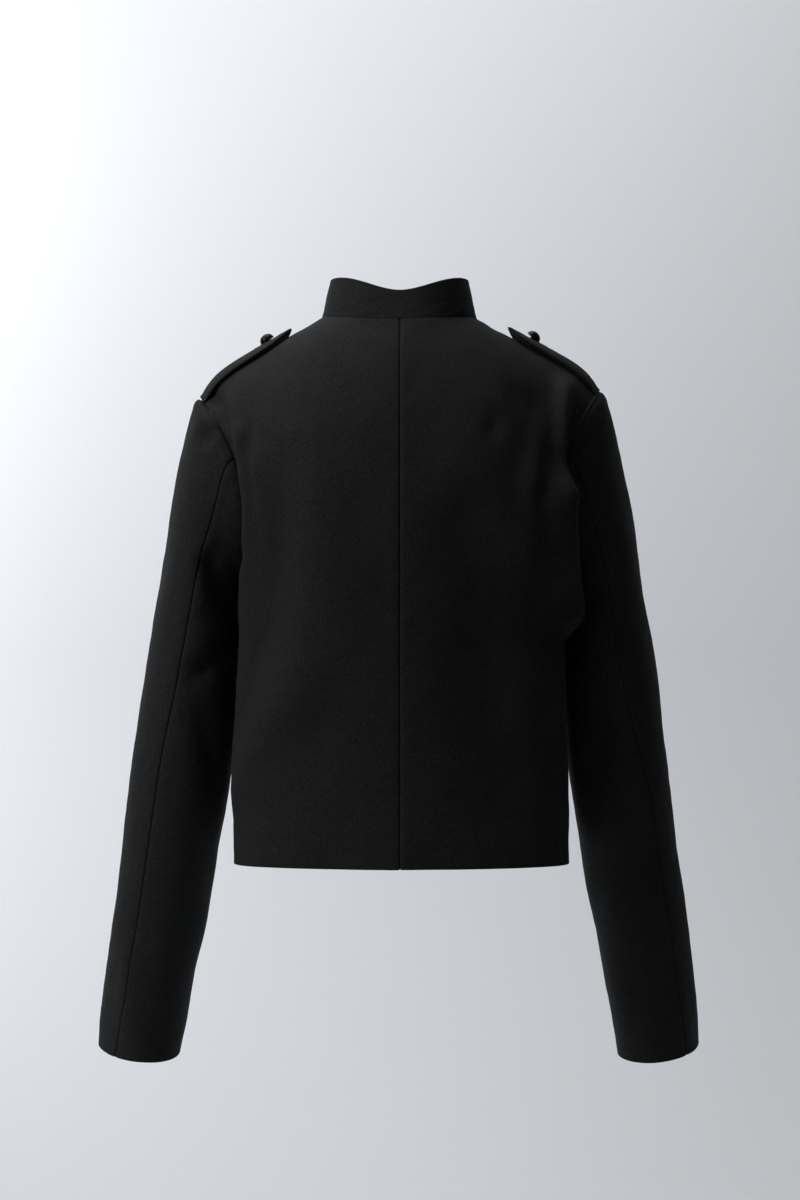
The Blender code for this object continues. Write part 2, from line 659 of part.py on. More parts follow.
def body_pieces(scale=1):
    """Every cloth piece but the straps: name, points, whether its faces turn round, and how far the folds and
    the lap lift it."""
    pieces = []
    rows = panel_rows(scale)
    for face, word in ((BACK, "back"), (FRONT, "front")):
        columns = panel_columns(face, scale)
        for side, name in ((LEFT, "left"), (RIGHT, "right")):
            points = np.array([panel_line(side, face, columns, v) for v in rows])
            folds = FOLDS[f"{word}_{name}"]
            first = LAP_ACROSS if face == FRONT else 0.0
            fade = ease(np.minimum(columns - first, 1 - columns) / FOLD_FADE_ACROSS)
            fade = fade * ease((SHOULDER - rows) / FOLD_FADE_UP)[:, None]
            lift = fold_heights(folds, columns, points[:, :, 2], PANEL_GIRTH) * fade
            lap = np.zeros(len(columns))
            if face == FRONT:
                lap = (1 - ease((columns - LAP_ACROSS) / LAP_FADE)) * LAP_LIFT * -side
            pieces.append((f"{word}_{name}", points, side * face > 0, lift, lap))
    for side, name in ((LEFT, "left"), (RIGHT, "right")):
        folds = FOLDS[f"sleeve_{name}"]
        seams = {"upper": (FRONT_SEAM - 2 * HALF_TURN, BACK_SEAM), "under": (BACK_SEAM, FRONT_SEAM)}
        for word, (first, last) in seams.items():
            columns = np.linspace(first, last, (last - first) * scale + 1)
            points, places, fade = sleeve_grid(side, columns, scale)
            lift = fold_heights(folds, np.mod(places, 1.0), points[:, :, 2], SLEEVE_GIRTH) * fade
            pieces.append((f"sleeve_{name}_{word}", points, side > 0, lift, np.zeros(len(columns))))
    points = collar_grid(scale)
    pieces.append(("collar", points, True, np.zeros(points.shape[:2]), np.zeros(points.shape[1])))
    return pieces


def cloth_walls():
    """Each piece's outer and inner points, folded, lapped and drawn back from its seams."""
    pieces = body_pieces()
    names, grids, flips, lifts, laps = zip(*pieces)
    smooth, _ = shared_normals(grids, flips)
    grids = [grid + normals * lift[:, :, None] for grid, normals, lift in zip(grids, smooth, lifts)]
    normals, longer = shared_normals(grids, flips)
    walls = {}
    for k, (name, pull) in enumerate(zip(names, seam_pulls(grids))):
        lap = laps[k][None, :, None]
        through = WALL * (1 + (longer[k] - 1) * (1 - np.abs(lap) / LAP_LIFT))
        outer = grids[k] + normals[k] * lap + pull
        walls[name] = (outer, outer - normals[k] * through, flips[k])
    return walls


def material(name, colour, roughness):
    made = bpy.data.materials.new(name)
    made.use_nodes = True
    surface = made.node_tree.nodes["Principled BSDF"]
    surface.inputs["Base Color"].default_value = colour
    surface.inputs["Roughness"].default_value = roughness
    surface.inputs["Metallic"].default_value = 0.0
    return made


def wall_object(name, outer, inner, flip, cloth, collection):
    """A closed solid between two grids of points."""
    rows, columns = outer.shape[:2]
    count = rows * columns
    index = np.arange(count).reshape(rows, columns)
    points = np.concatenate([outer.reshape(-1, 3), inner.reshape(-1, 3)])
    faces = []
    for i in range(rows - 1):
        for j in range(columns - 1):
            quad = (index[i, j], index[i, j + 1], index[i + 1, j + 1], index[i + 1, j])
            faces.append(quad)
            faces.append(tuple(k + count for k in reversed(quad)))
    rim = [*index[0], *index[1:, -1], *index[-1, -2::-1], *index[-2:0:-1, 0]]
    for a, b in zip(rim, rim[1:] + rim[:1]):
        from_a, from_b = points[b + count] - points[a], points[a + count] - points[b]
        shorter = np.linalg.norm(from_b) - np.linalg.norm(from_a)
        if shorter + math.copysign(EVEN_DIAGONALS, points[b, 2] - points[a, 2]) > 0:
            faces += [(b, a, b + count), (a, a + count, b + count)]
        else:
            faces += [(b, a, a + count), (b, a + count, b + count)]
    if flip:
        faces = [tuple(reversed(face)) for face in faces]
    mesh = bpy.data.meshes.new(name)
    mesh.from_pydata(points.tolist(), [], [[int(k) for k in face] for face in faces])
    mesh.materials.append(cloth)
    mesh.shade_smooth()
    mesh.set_sharp_from_angle(angle=math.radians(SHARP_EDGE))
    made = bpy.data.objects.new(name, mesh)
    collection.objects.link(made)
    return made


def shoulder_lines(side, x):
    """Lines over the shoulder from back to front, one for each distance x out along the shoulder seam."""
    across = NECK_ACROSS + (1 - NECK_ACROSS) * (x - NECK_X) / (SHOULDER_X - NECK_X)
    levels = np.linspace(YOKE, SHOULDER, OVER_SHOULDER_POINTS)
    back = [panel_line(side, BACK, across, v) for v in levels]
    front = [panel_line(side, FRONT, across, v) for v in levels[-2::-1]]
    return np.array(back + front).swapaxes(0, 1)


def strap_grid(side, scale=1):
    """The shoulder under a strap, point for point, and the strap's underside and thickness over it."""
    places = np.linspace(0.0, 1.0, STRAP_ROWS * scale + 1)
    x = read(STRAP, "x", places, "s")
    short = np.clip(1 - (x - x[-1]) / STRAP_ROUNDING, 0.0, 1.0)
    half = STRAP_END_HALF_WIDTH + (STRAP_HALF_WIDTH - STRAP_END_HALF_WIDTH) * np.sqrt(1 - short**2)
    shares = np.linspace(-1.0, 1.0, STRAP_COLUMNS * scale + 1)
    points = []
    for line, wide in zip(shoulder_lines(side, x), half):
        order = np.argsort(line[:, 1])
        y = shares * wide
        points.append(np.stack([np.interp(y, line[order, 1], line[order, k]) for k in range(3)], axis=-1))
    return np.array(points), read(STRAP, "lift", places, "s"), read(STRAP, "thick", places, "s")


def strap_wall(side):
    points, lift, thick = strap_grid(side)
    flip = side < 0
    normals = shared_normals([points], [flip])[0][0]
    lower = points + normals * lift[:, None, None]
    return lower + normals * thick[:, None, None], lower, flip


def button_mesh(shiny):
    """A button's profile, from the top of its dome down its outer side to the foot of its shank."""
    edge = SHANK_HEIGHT + RIM_HEIGHT
    profile = []
    for k in range(DOME_POINTS + 1):
        turn = math.pi / 2 * k / DOME_POINTS
        rise = (BUTTON_HEIGHT - edge) * math.cos(turn)
        profile.append((DOME_RADIUS * math.sin(turn), edge + rise))
    profile += [(BUTTON_RADIUS, edge), (BUTTON_RADIUS, edge - RIM_HEIGHT / 2)]
    profile += [(BUTTON_FOOT_RADIUS, SHANK_HEIGHT), (SHANK_RADIUS, SHANK_HEIGHT * 0.9)]
    profile += [(SHANK_RADIUS, 0.0), (0.0, 0.0)]
    mesh = bpy.data.meshes.new("button_profile")
    points = [(radius, 0.0, height) for radius, height in profile]
    mesh.from_pydata(points, [(k, k + 1) for k in range(len(points) - 1)], [])
    mesh.materials.append(shiny)
    return mesh


def add_button(name, mesh, foot, axis, collection):
    """A turned button that stands on foot along axis."""
    made = bpy.data.objects.new(name, mesh)
    collection.objects.link(made)
    turned = made.modifiers.new("Turned", "SCREW")
    turned.steps = turned.render_steps = BUTTON_STEPS
    turned.use_merge_vertices = True
    turned.merge_threshold = 0.00001
    turned.use_smooth_shade = True
    axis = unit(axis)
    side = unit(np.cross((1.0, 0.0, 0.0) if abs(axis[1]) > abs(axis[0]) else (0.0, 1.0, 0.0), axis))
    frame = np.eye(4)
    frame[:3, 0], frame[:3, 1], frame[:3, 2] = side, np.cross(axis, side), axis
    frame[:3, 3] = foot + axis * SEAM_GAP
    made.matrix_world = Matrix(frame.tolist())
    return made


def strap_buttons(mesh, straps, collection):
    """A button on each strap, tilted a little towards the sleeve."""
    for side, word in ((LEFT, "left"), (RIGHT, "right")):
        line = straps[side][0][:, STRAP_COLUMNS // 2]
        row = int(np.argmin(np.abs(np.abs(line[:, 0]) - STRAP_BUTTON_X)))
        along = unit(line[row - 1] - line[row + 1])
        away = unit(np.cross(along, (0.0, 1.0, 0.0)) * side)
        tilt = math.radians(STRAP_BUTTON_TILT[side])
        foot = line[row] + away * SHANK_RADIUS * math.sin(tilt)
        axis = away * math.cos(tilt) + along * math.sin(tilt)
        add_button(f"strap_button_{word}", mesh, foot, axis, collection)


def front_buttons(mesh, walls, collection):
    """Buttons down the middle of the lapping front."""
    middle = int(np.argmin(np.abs(panel_columns(FRONT))))
    line = walls["front_right"][0][:, middle]
    for k in range(FRONT_BUTTONS):
        z = FIRST_BUTTON_Z - BUTTON_SPACING * k
        row = np.interp(z, line[:, 2], np.arange(len(line)))
        low = int(row)
        up = line[low + 1] - line[low]
        foot = line[low] + up * (row - low)
        add_button(f"front_button_{k + 1}", mesh, foot, np.cross((1.0, 0.0, 0.0), up), collection)


def build():
    for old in list(bpy.data.objects):
        bpy.data.objects.remove(old)
    collection = bpy.data.collections.new("fitted_jacket")
    bpy.context.scene.collection.children.link(collection)
    words = ("back", "front", "sleeve", "collar", "strap")
    cloths = {word: material(f"{word}_cloth", CLOTH_COLOUR, CLOTH_ROUGHNESS) for word in words}
    shiny = material("button_black", BUTTON_COLOUR, BUTTON_ROUGHNESS)
    walls = cloth_walls()
    for name, (outer, inner, flip) in walls.items():
        wall_object(name, outer, inner, flip, cloths[name.split("_")[0]], collection)
    straps = {side: strap_wall(side) for side in (LEFT, RIGHT)}
    for side, word in ((LEFT, "left"), (RIGHT, "right")):
        wall_object(f"strap_{word}", *straps[side], cloths["strap"], collection)
    mesh = button_mesh(shiny)
    strap_buttons(mesh, straps, collection)
    front_buttons(mesh, walls, collection)


build()
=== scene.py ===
"""Looks of the fitted jacket: every cut piece as a fine shell of black twill on its solid's form, with its folds,
seams, stitches and buttons, and a pale studio round it. Metres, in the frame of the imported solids."""

import math

import bpy
import numpy as np
from mathutils import Matrix, Vector


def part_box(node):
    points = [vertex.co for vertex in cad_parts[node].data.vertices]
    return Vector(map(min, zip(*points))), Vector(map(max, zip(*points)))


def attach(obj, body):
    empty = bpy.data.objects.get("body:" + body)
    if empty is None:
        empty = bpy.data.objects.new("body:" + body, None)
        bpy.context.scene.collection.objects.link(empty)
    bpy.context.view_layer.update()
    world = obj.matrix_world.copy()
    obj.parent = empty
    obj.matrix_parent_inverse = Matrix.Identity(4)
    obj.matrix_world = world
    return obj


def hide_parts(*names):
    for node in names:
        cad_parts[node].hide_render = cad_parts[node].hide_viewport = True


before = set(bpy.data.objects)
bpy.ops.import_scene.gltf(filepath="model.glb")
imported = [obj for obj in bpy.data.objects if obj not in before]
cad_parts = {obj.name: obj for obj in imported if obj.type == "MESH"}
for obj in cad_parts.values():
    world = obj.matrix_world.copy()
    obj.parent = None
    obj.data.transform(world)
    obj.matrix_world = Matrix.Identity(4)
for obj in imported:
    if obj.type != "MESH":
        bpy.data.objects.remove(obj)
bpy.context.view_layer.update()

WALL = 0.002  # thickness of the cloth
SEAM_GAP = 0.00001  # space left between two pieces along a seam
SAME_PLACE = 2e-6  # points this near belong to one seam
EVEN_DIAGONALS = 0.0003  # difference of length under which a rim's faces are split by height instead

# Cosines between a seam's shared normal and the faces of its cloths: under the first the normal is evened out
# between them, and down to the second the way through the cloth is made longer
SHARP_SEAM = 0.85
SHARPEST_MITRE = 0.6
MITRE_ROUNDS = 40

LEFT, RIGHT = 1, -1  # the wearer's sides, as the sign of x
BACK, FRONT = 1, -1  # as the sign of y

# Heights up a body panel: 0 at the hem, 1 at the underarm, 2 along the neck and shoulder
UNDERARM, SHOULDER = 1.0, 2.0
YOKE = 1.45  # where the flat of the panel starts to turn over the shoulder
OVER_SHOULDER = 1.35  # how flat it arrives at the shoulder seam, as a share of its depth at the yoke
OVER_NECK = {BACK: 2.05, FRONT: 1.47}  # the same at the neck's end of that seam
OVER_NECK_FADE = 0.35
STEP = 0.01  # of height, to measure a slope
EDGE_STEP = 0.002  # of the way across, to measure the direction of an edge
HEM_Z = -0.520
UNDERARM_Z = -0.240
UNDERARM_X = 0.1475
SHOULDER_X = 0.1910
SHOULDER_Z = {LEFT: -0.0780, RIGHT: -0.0715}

# Neck seam: half width, and depth and drop of its middle at the back and the front
NECK_X = 0.075
NECK_Y = {BACK: 0.062, FRONT: -0.075}
NECK_Z = {BACK: -0.0053, FRONT: -0.065}
NECK_ACROSS = 0.40  # share of a panel's top edge that is neck, the rest being shoulder

# Columns and rows of each panel's grid
NECK_COLUMNS = {BACK: 6, FRONT: 5}
LAP_COLUMNS = 4
SHOULDER_COLUMNS = 9
CLOSER_OUT = 1.3  # power by which the columns draw together towards the armhole
STRAP_ROWS = 16
SIDE_ROWS = 18
ARMHOLE_ROWS = 12
HALF_TURN = ARMHOLE_ROWS  # sleeve columns from the top of the armhole to the underarm
CAP_ROWS = 12
ARM_ROWS = 30
COLLAR_ROWS = 4

# The right front laps over the left one
LAP_ACROSS = 0.055  # how far each front runs past the middle, as a share of the panel
LAP_FADE = 0.12
LAP_LIFT = 0.00115

# Two-piece sleeve: columns, counted round from the top of the armhole over the back, where its seams run
BACK_SEAM = 5
FRONT_SEAM = 16
SEAM_BOW = 0.7  # columns by which the cap's back seam bows towards the underarm, fading over this many
SEAM_BOW_SPREAD = 5.0

# Collar's top edge
COLLAR_X = 0.0655
COLLAR_Y = {BACK: 0.055, FRONT: -0.0685}
COLLAR_BACK_Z = 0.0214
COLLAR_SIDE_Z = 0.0351
COLLAR_FRONT_Z = -0.031
COLLAR_CORNER = 0.012  # rounding of its front corners
COLLAR_DIP = 1.05  # how soon the back of its top edge reaches the height of its sides

# Shoulder straps
STRAP_HALF_WIDTH = 0.019
STRAP_END_HALF_WIDTH = 0.008
STRAP_COLUMNS = 6
OVER_SHOULDER_POINTS = 40
STRAP_ROUNDING = 0.014

# Buttons: a domed cap with a thin rim, on a shank
BUTTON_RADIUS = 0.0075
BUTTON_HEIGHT = 0.0078
SHANK_RADIUS = 0.0022
SHANK_HEIGHT = 0.0011
RIM_HEIGHT = 0.0010
DOME_RADIUS = 0.94 * BUTTON_RADIUS
BUTTON_FOOT_RADIUS = 0.86 * BUTTON_RADIUS
BUTTON_STEPS = 40
DOME_POINTS = 10
STRAP_BUTTON_X = 0.1300
STRAP_BUTTON_TILT = {LEFT: 3.0, RIGHT: 16.0}  # degrees, towards the sleeve
FRONT_BUTTONS = 5
FIRST_BUTTON_Z = -0.106
BUTTON_SPACING = 0.090

SHARP_EDGE = 40  # degrees
CLOTH_COLOUR = (0.022, 0.022, 0.024, 1.0)
CLOTH_ROUGHNESS = 0.9
BUTTON_COLOUR = (0.008, 0.008, 0.009, 1.0)
BUTTON_ROUGHNESS = 0.2


def table(names, rows):
    """The columns of a table, by name."""
    return dict(zip(names.split(), np.array(rows, float).T))


# Middle line of each face, from the hem up to the neck seam
CENTRE = {
    BACK: table(
        "v y z",
        (
            (0.00, 0.104, -0.520),
            (0.45, 0.1025, -0.415),
            (0.80, 0.107, -0.345),
            (1.00, 0.111, -0.300),
            (1.30, 0.1155, -0.205),
            (1.60, 0.106, -0.114),
            (1.85, 0.081, -0.043),
            (2.00, 0.062, -0.0053),
        ),
    ),
    FRONT: table(
        "v y z",
        (
            (0.00, -0.108, -0.520),
            (0.45, -0.111, -0.415),
            (0.80, -0.117, -0.345),
            (1.00, -0.121, -0.300),
            (1.30, -0.124, -0.215),
            (1.60, -0.108, -0.141),
            (1.85, -0.087, -0.089),
            (2.00, -0.075, -0.065),
        ),
    ),
}

# Form of each level across a panel: how far its middle runs flat, as a share of the half width, how far the
# cloth swells past the side seam on each side, and how round it turns into it
ACROSS = {
    BACK: table(
        "v reach left right round",
        (
            (0.00, 0.62, 0.042, 0.050, 0.066),
            (0.45, 0.62, 0.045, 0.050, 0.065),
            (0.80, 0.62, 0.036, 0.042, 0.068),
            (1.00, 0.62, 0.012, 0.016, 0.066),
            (1.30, 0.62, 0.006, 0.010, 0.050),
            (1.60, 0.60, 0.000, 0.002, 0.034),
            (2.00, 0.50, -0.010, -0.010, 0.010),
        ),
    ),
    FRONT: table(
        "v reach left right round",
        (
            (0.00, 0.60, 0.012, 0.012, 0.072),
            (0.45, 0.60, 0.012, 0.012, 0.074),
            (0.80, 0.62, 0.010, 0.010, 0.078),
            (1.00, 0.62, 0.008, 0.008, 0.070),
            (1.30, 0.60, 0.000, 0.000, 0.050),
            (1.60, 0.55, -0.006, -0.006, 0.032),
            (2.00, 0.50, -0.010, -0.010, 0.010),
        ),
    ),
}

# Side seam: half width of the body up to the underarm
SIDE_SEAM = table(
    "v x",
    (
        (0.00, 0.1470),
        (0.40, 0.1465),
        (0.70, 0.1450),
        (0.90, 0.1440),
        (1.00, UNDERARM_X),
    ),
)

# Armhole: half width of the body at each level of it, from the underarm (0) to the shoulder point (1)
ARMHOLE = table(
    "level back front",
    (
        (0.00, UNDERARM_X, UNDERARM_X),
        (0.15, 0.1447, 0.1425),
        (0.40, 0.1458, 0.1405),
        (0.52, 0.1508, 0.1432),
        (0.66, 0.1580, 0.1505),
        (0.79, 0.1680, 0.1620),
        (0.89, 0.1785, 0.1745),
        (1.00, SHOULDER_X, SHOULDER_X),
    ),
)
ARMHOLE_DEPTH = {BACK: 0.052, FRONT: 0.053}

# Shoulder seam: share of the way down from the neck to the shoulder point, at each distance out
SHOULDER_LINE = table(
    "x fall",
    (
        (0.075, 0.000),
        (0.090, 0.130),
        (0.105, 0.237),
        (0.136, 0.443),
        (0.160, 0.622),
        (0.172, 0.735),
        (0.182, 0.880),
        (0.191, 1.000),
    ),
)

# Sleeve rings from the upper arm (0) to the cuff (1): middle, two half sizes, turn of the oval, slopes of its
# plane sideways and backwards, and where the back and front seams cross it, in degrees round from its outside
SLEEVE = table(
    "s left right y z wide deep turn tilt lean seam_left seam_right seam_front",
    (
        (0.00, 0.1924, 0.1938, -0.023, -0.258, 0.0406, 0.059, 0.0, 9.0, 2.0, 86.0, 84.0, 236.0),
        (0.12, 0.1974, 0.1987, -0.025, -0.312, 0.0445, 0.057, 1.0, 9.0, 3.0, 78.0, 78.0, 234.0),
        (0.25, 0.2030, 0.2042, -0.026, -0.370, 0.0475, 0.0545, 4.0, 8.5, 6.0, 67.0, 68.0, 232.0),
        (0.40, 0.2129, 0.2129, -0.034, -0.440, 0.0482, 0.0520, 8.0, 8.0, 10.0, 57.0, 52.0, 230.0),
        (0.58, 0.2246, 0.2246, -0.048, -0.520, 0.0466, 0.0495, 13.0, 7.5, 12.0, 51.0, 42.0, 226.0),
        (0.76, 0.2388, 0.2385, -0.064, -0.600, 0.0447, 0.0485, 18.0, 6.5, 12.0, 45.0, 36.0, 222.0),
        (0.89, 0.2492, 0.2482, -0.077, -0.660, 0.0420, 0.0485, 22.0, 5.0, 11.0, 40.0, 30.0, 219.0),
        (1.00, 0.2570, 0.2553, -0.087, -0.7115, 0.0386, 0.0488, 25.0, 3.5, 10.0, 28.0, 20.0, 217.0),
    ),
)

# Sleeve cap at the underarm (-1), its sides (0) and its top (1): how far it runs on from the armhole seam,
# which way outwards and upwards, and how long it turns into the upper arm, as a share of the way
CAP_LEAVES = table(
    "level far out up reach",
    (
        (-1.0, 0.0090, 1.0, -0.80, 0.42),
        (-0.8, 0.0155, 1.0, -0.71, 0.44),
        (0.0, 0.0260, 1.0, -0.36, 0.52),
        (1.0, 0.0120, 1.0, 0.08, 0.62),
    ),
)
CAP_LEAVES_BACK = 0.15

# Shoulder strap from its sewn end (0) to its free tip (1): distance out along the shoulder, height of its
# underside over the shoulder, and thickness
STRAP = table(
    "s x lift thick",
    (
        (0.00, 0.1902, 0.0006, 0.0014),
        (0.08, 0.1835, 0.0008, 0.0030),
        (0.17, 0.1750, 0.0014, 0.0040),
        (0.27, 0.1660, 0.0008, 0.0042),
        (0.43, 0.1520, 0.0009, 0.0042),
        (0.62, 0.1350, 0.0013, 0.0042),
        (0.80, 0.1200, 0.0019, 0.0042),
        (0.92, 0.1100, 0.0028, 0.0040),
        (1.00, 0.1045, 0.0042, 0.0034),
    ),
)

# Largest folds, as soft ridges (+) and troughs (-) between two places: share of the way across the panel, or
# round the sleeve from its outside over the back, and height. Width and height are in metres.
FOLDS = {
    "back_left": table(
        "across0 z0 across1 z1 width height",
        (
            (0.84, -0.120, 0.80, -0.290, 0.016, 0.0070),
            (0.50, -0.150, 0.60, -0.345, 0.024, -0.0045),
            (0.27, -0.230, 0.42, -0.370, 0.026, 0.0030),
            (0.42, -0.370, 0.72, -0.455, 0.024, 0.0035),
            (0.62, -0.310, 0.70, -0.400, 0.014, -0.0030),
        ),
    ),
    "back_right": table(
        "across0 z0 across1 z1 width height",
        (
            (0.83, -0.075, 0.85, -0.150, 0.013, 0.0080),
            (0.83, -0.172, 0.815, -0.287, 0.018, 0.0300),
            (0.27, -0.200, 0.36, -0.460, 0.030, -0.0045),
            (0.52, -0.230, 0.55, -0.370, 0.026, 0.0035),
            (0.60, -0.090, 0.50, -0.150, 0.020, -0.0025),
        ),
    ),
    "front_left": table(
        "across0 z0 across1 z1 width height",
        (
            (0.34, -0.235, 0.36, -0.265, 0.050, 0.0080),
            (0.88, -0.170, 0.60, -0.215, 0.016, -0.0035),
            (0.66, -0.330, 0.74, -0.450, 0.024, -0.0040),
            (0.40, -0.350, 0.36, -0.480, 0.026, 0.0025),
        ),
    ),
    "front_right": table(
        "across0 z0 across1 z1 width height",
        (
            (0.34, -0.235, 0.36, -0.265, 0.050, 0.0080),
            (0.86, -0.190, 0.62, -0.225, 0.018, -0.0040),
            (0.60, -0.310, 0.72, -0.430, 0.022, -0.0035),
            (0.46, -0.400, 0.40, -0.500, 0.024, 0.0030),
        ),
    ),
    "sleeve_left": table(
        "across0 z0 across1 z1 width height",
        (
            (0.28, -0.235, 0.41, -0.290, 0.012, -0.0060),
            (0.44, -0.300, 0.30, -0.335, 0.011, -0.0050),
            (0.25, -0.345, 0.38, -0.450, 0.015, -0.0035),
            (0.66, -0.300, 0.78, -0.370, 0.014, -0.0045),
            (0.62, -0.420, 0.80, -0.455, 0.013, -0.0050),
            (0.80, -0.480, 0.68, -0.540, 0.014, -0.0030),
            (0.10, -0.620, 0.16, -0.700, 0.014, 0.0025),
        ),
    ),
    "sleeve_right": table(
        "across0 z0 across1 z1 width height",
        (
            (0.20, -0.110, 0.27, -0.150, 0.012, -0.0050),
            (0.30, -0.270, 0.42, -0.310, 0.013, -0.0055),
            (0.24, -0.360, 0.36, -0.470, 0.016, -0.0035),
            (0.70, -0.290, 0.80, -0.350, 0.014, -0.0045),
            (0.64, -0.400, 0.79, -0.440, 0.014, -0.0050),
            (0.76, -0.500, 0.66, -0.560, 0.014, -0.0030),
        ),
    ),
}
PANEL_GIRTH = 0.215  # metres across a panel, for the spread of a fold
SLEEVE_GIRTH = 0.300
FOLD_FADE_ACROSS = 0.13
FOLD_FADE_UP = 0.14
FOLD_FADE_CAP = 0.25


# Finer creases, as soft troughs (-) and ridges (+) along a bowed line: places as in the folds, bow sideways,
# width and height in metres
CREASES = {
    "back_left": table(
        "across0 z0 across1 z1 bow width height",
        (
            (0.965, -0.112, 0.938, -0.072, 0.000, 0.0085, -0.0048),
            (0.72, -0.098, 0.86, -0.150, -0.006, 0.0100, -0.0018),
            (0.70, -0.135, 0.66, -0.190, 0.004, 0.0090, 0.0016),
            (0.94, -0.250, 0.78, -0.226, -0.004, 0.0070, -0.0016),
            (0.92, -0.275, 0.74, -0.300, 0.006, 0.0090, -0.0014),
            (0.18, -0.300, 0.36, -0.420, 0.010, 0.0160, 0.0010),
            (0.30, -0.455, 0.34, -0.518, 0.002, 0.0170, 0.0010),
            (0.60, -0.462, 0.66, -0.518, -0.003, 0.0140, -0.0012),
            (0.86, -0.440, 0.82, -0.512, 0.003, 0.0110, 0.0012),
            (0.12, -0.110, 0.20, -0.160, 0.004, 0.0180, -0.0007),
        ),
    ),
    "back_right": table(
        "across0 z0 across1 z1 bow width height",
        (
            (0.40, -0.093, 0.34, -0.122, 0.003, 0.0110, -0.0015),
            (0.48, -0.073, 0.55, -0.088, -0.002, 0.0090, -0.0013),
            (0.89, -0.090, 0.88, -0.150, 0.003, 0.0060, -0.0024),
            (0.60, -0.120, 0.60, -0.300, 0.003, 0.0200, 0.0055),
            (0.72, -0.150, 0.70, -0.285, 0.002, 0.0140, 0.0080),
            (0.70, -0.120, 0.62, -0.185, 0.006, 0.0110, -0.0018),
            (0.93, -0.255, 0.76, -0.300, 0.004, 0.0080, -0.0022),
            (0.90, -0.300, 0.80, -0.322, -0.004, 0.0060, -0.0020),
            (0.40, -0.300, 0.46, -0.400, -0.006, 0.0140, 0.0010),
            (0.70, -0.468, 0.78, -0.498, 0.002, 0.0060, -0.0018),
            (0.44, -0.468, 0.40, -0.518, 0.002, 0.0150, -0.0010),
            (0.16, -0.380, 0.22, -0.470, 0.006, 0.0160, -0.0008),
        ),
    ),
    "front_left": table(
        "across0 z0 across1 z1 bow width height",
        (
            (0.90, -0.110, 0.74, -0.160, 0.006, 0.0100, -0.0020),
            (0.93, -0.250, 0.70, -0.235, -0.006, 0.0080, -0.0018),
            (0.88, -0.285, 0.66, -0.318, 0.006, 0.0100, -0.0016),
            (0.50, -0.420, 0.56, -0.510, 0.004, 0.0150, -0.0012),
            (0.24, -0.300, 0.22, -0.420, 0.004, 0.0150, 0.0010),
            (0.30, -0.085, 0.42, -0.130, 0.004, 0.0140, -0.0009),
        ),
    ),
    "front_right": table(
        "across0 z0 across1 z1 bow width height",
        (
            (0.90, -0.100, 0.76, -0.148, 0.006, 0.0100, -0.0018),
            (0.92, -0.262, 0.68, -0.250, -0.005, 0.0080, -0.0020),
            (0.86, -0.300, 0.70, -0.345, 0.006, 0.0110, -0.0015),
            (0.36, -0.440, 0.34, -0.512, 0.003, 0.0150, -0.0010),
            (0.62, -0.400, 0.70, -0.480, 0.005, 0.0130, 0.0012),
            (0.26, -0.080, 0.40, -0.120, 0.004, 0.0140, -0.0008),
        ),
    ),
    "sleeve_left": table(
        "across0 z0 across1 z1 bow width height",
        (
            (0.12, -0.124, 0.21, -0.104, 0.003, 0.0085, -0.0042),
            (0.27, -0.392, 0.36, -0.445, 0.004, 0.0060, -0.0016),
            (0.34, -0.316, 0.44, -0.322, 0.002, 0.0080, 0.0014),
            (0.30, -0.500, 0.40, -0.560, 0.005, 0.0110, -0.0014),
            (0.70, -0.380, 0.86, -0.400, 0.006, 0.0080, -0.0022),
            (0.60, -0.460, 0.76, -0.500, -0.005, 0.0090, -0.0022),
            (0.84, -0.440, 0.94, -0.470, 0.004, 0.0100, -0.0012),
            (0.90, -0.200, 0.82, -0.280, 0.005, 0.0110, -0.0014),
            (0.56, -0.560, 0.70, -0.600, 0.004, 0.0090, -0.0014),
            (0.05, -0.640, 0.12, -0.700, 0.004, 0.0110, 0.0010),
        ),
    ),
    "sleeve_right": table(
        "across0 z0 across1 z1 bow width height",
        (
            (0.14, -0.118, 0.22, -0.130, 0.003, 0.0080, -0.0014),
            (0.28, -0.400, 0.38, -0.440, -0.003, 0.0080, -0.0016),
            (0.33, -0.330, 0.45, -0.345, 0.003, 0.0090, 0.0014),
            (0.28, -0.520, 0.38, -0.590, 0.005, 0.0120, -0.0013),
            (0.72, -0.350, 0.86, -0.372, 0.005, 0.0080, -0.0022),
            (0.62, -0.440, 0.80, -0.478, -0.006, 0.0090, -0.0020),
            (0.86, -0.420, 0.95, -0.455, 0.004, 0.0100, -0.0012),
            (0.92, -0.190, 0.84, -0.265, 0.005, 0.0110, -0.0014),
            (0.58, -0.580, 0.72, -0.610, 0.004, 0.0090, -0.0014),
        ),
    ),
}
CREASE_FADE = 0.014  # metres from a panel's edges

# Soft unevenness of the whole cloth, continued across its seams: wave length and height in metres
UNEVEN = ((0.110, 0.00055), (0.052, 0.00026), (0.023, 0.00009))
WAVES = 14

# A seam's groove, and the puckers of the stitched cloth beside it
SEAM_DEPTH = 0.0015
SEAM_WIDTH = 0.0008
COLLAR_SEAM = 0.12  # share of that depth where the collar is sewn on
PUCKER_HEIGHT = 0.00022
PUCKER_WIDTH = 0.0060
PUCKER_LENGTH = 0.019

# The cloth is double where a seam is pressed open and where an edge is turned up
ALLOWANCE_WIDTH = 0.010
ALLOWANCE_HEIGHT = 0.00022
SLEEVE_HEAD_HEIGHT = 0.0008
SLEEVE_HEAD_WIDTH = 0.0060
SLEEVE_HEAD_PLACE = 0.0075
HEM_TURN = 0.036
HEM_HEIGHT = 0.00020

FINER = 5
CLOSE_STEPS = np.array((0.06, 0.16, 0.32, 0.58))
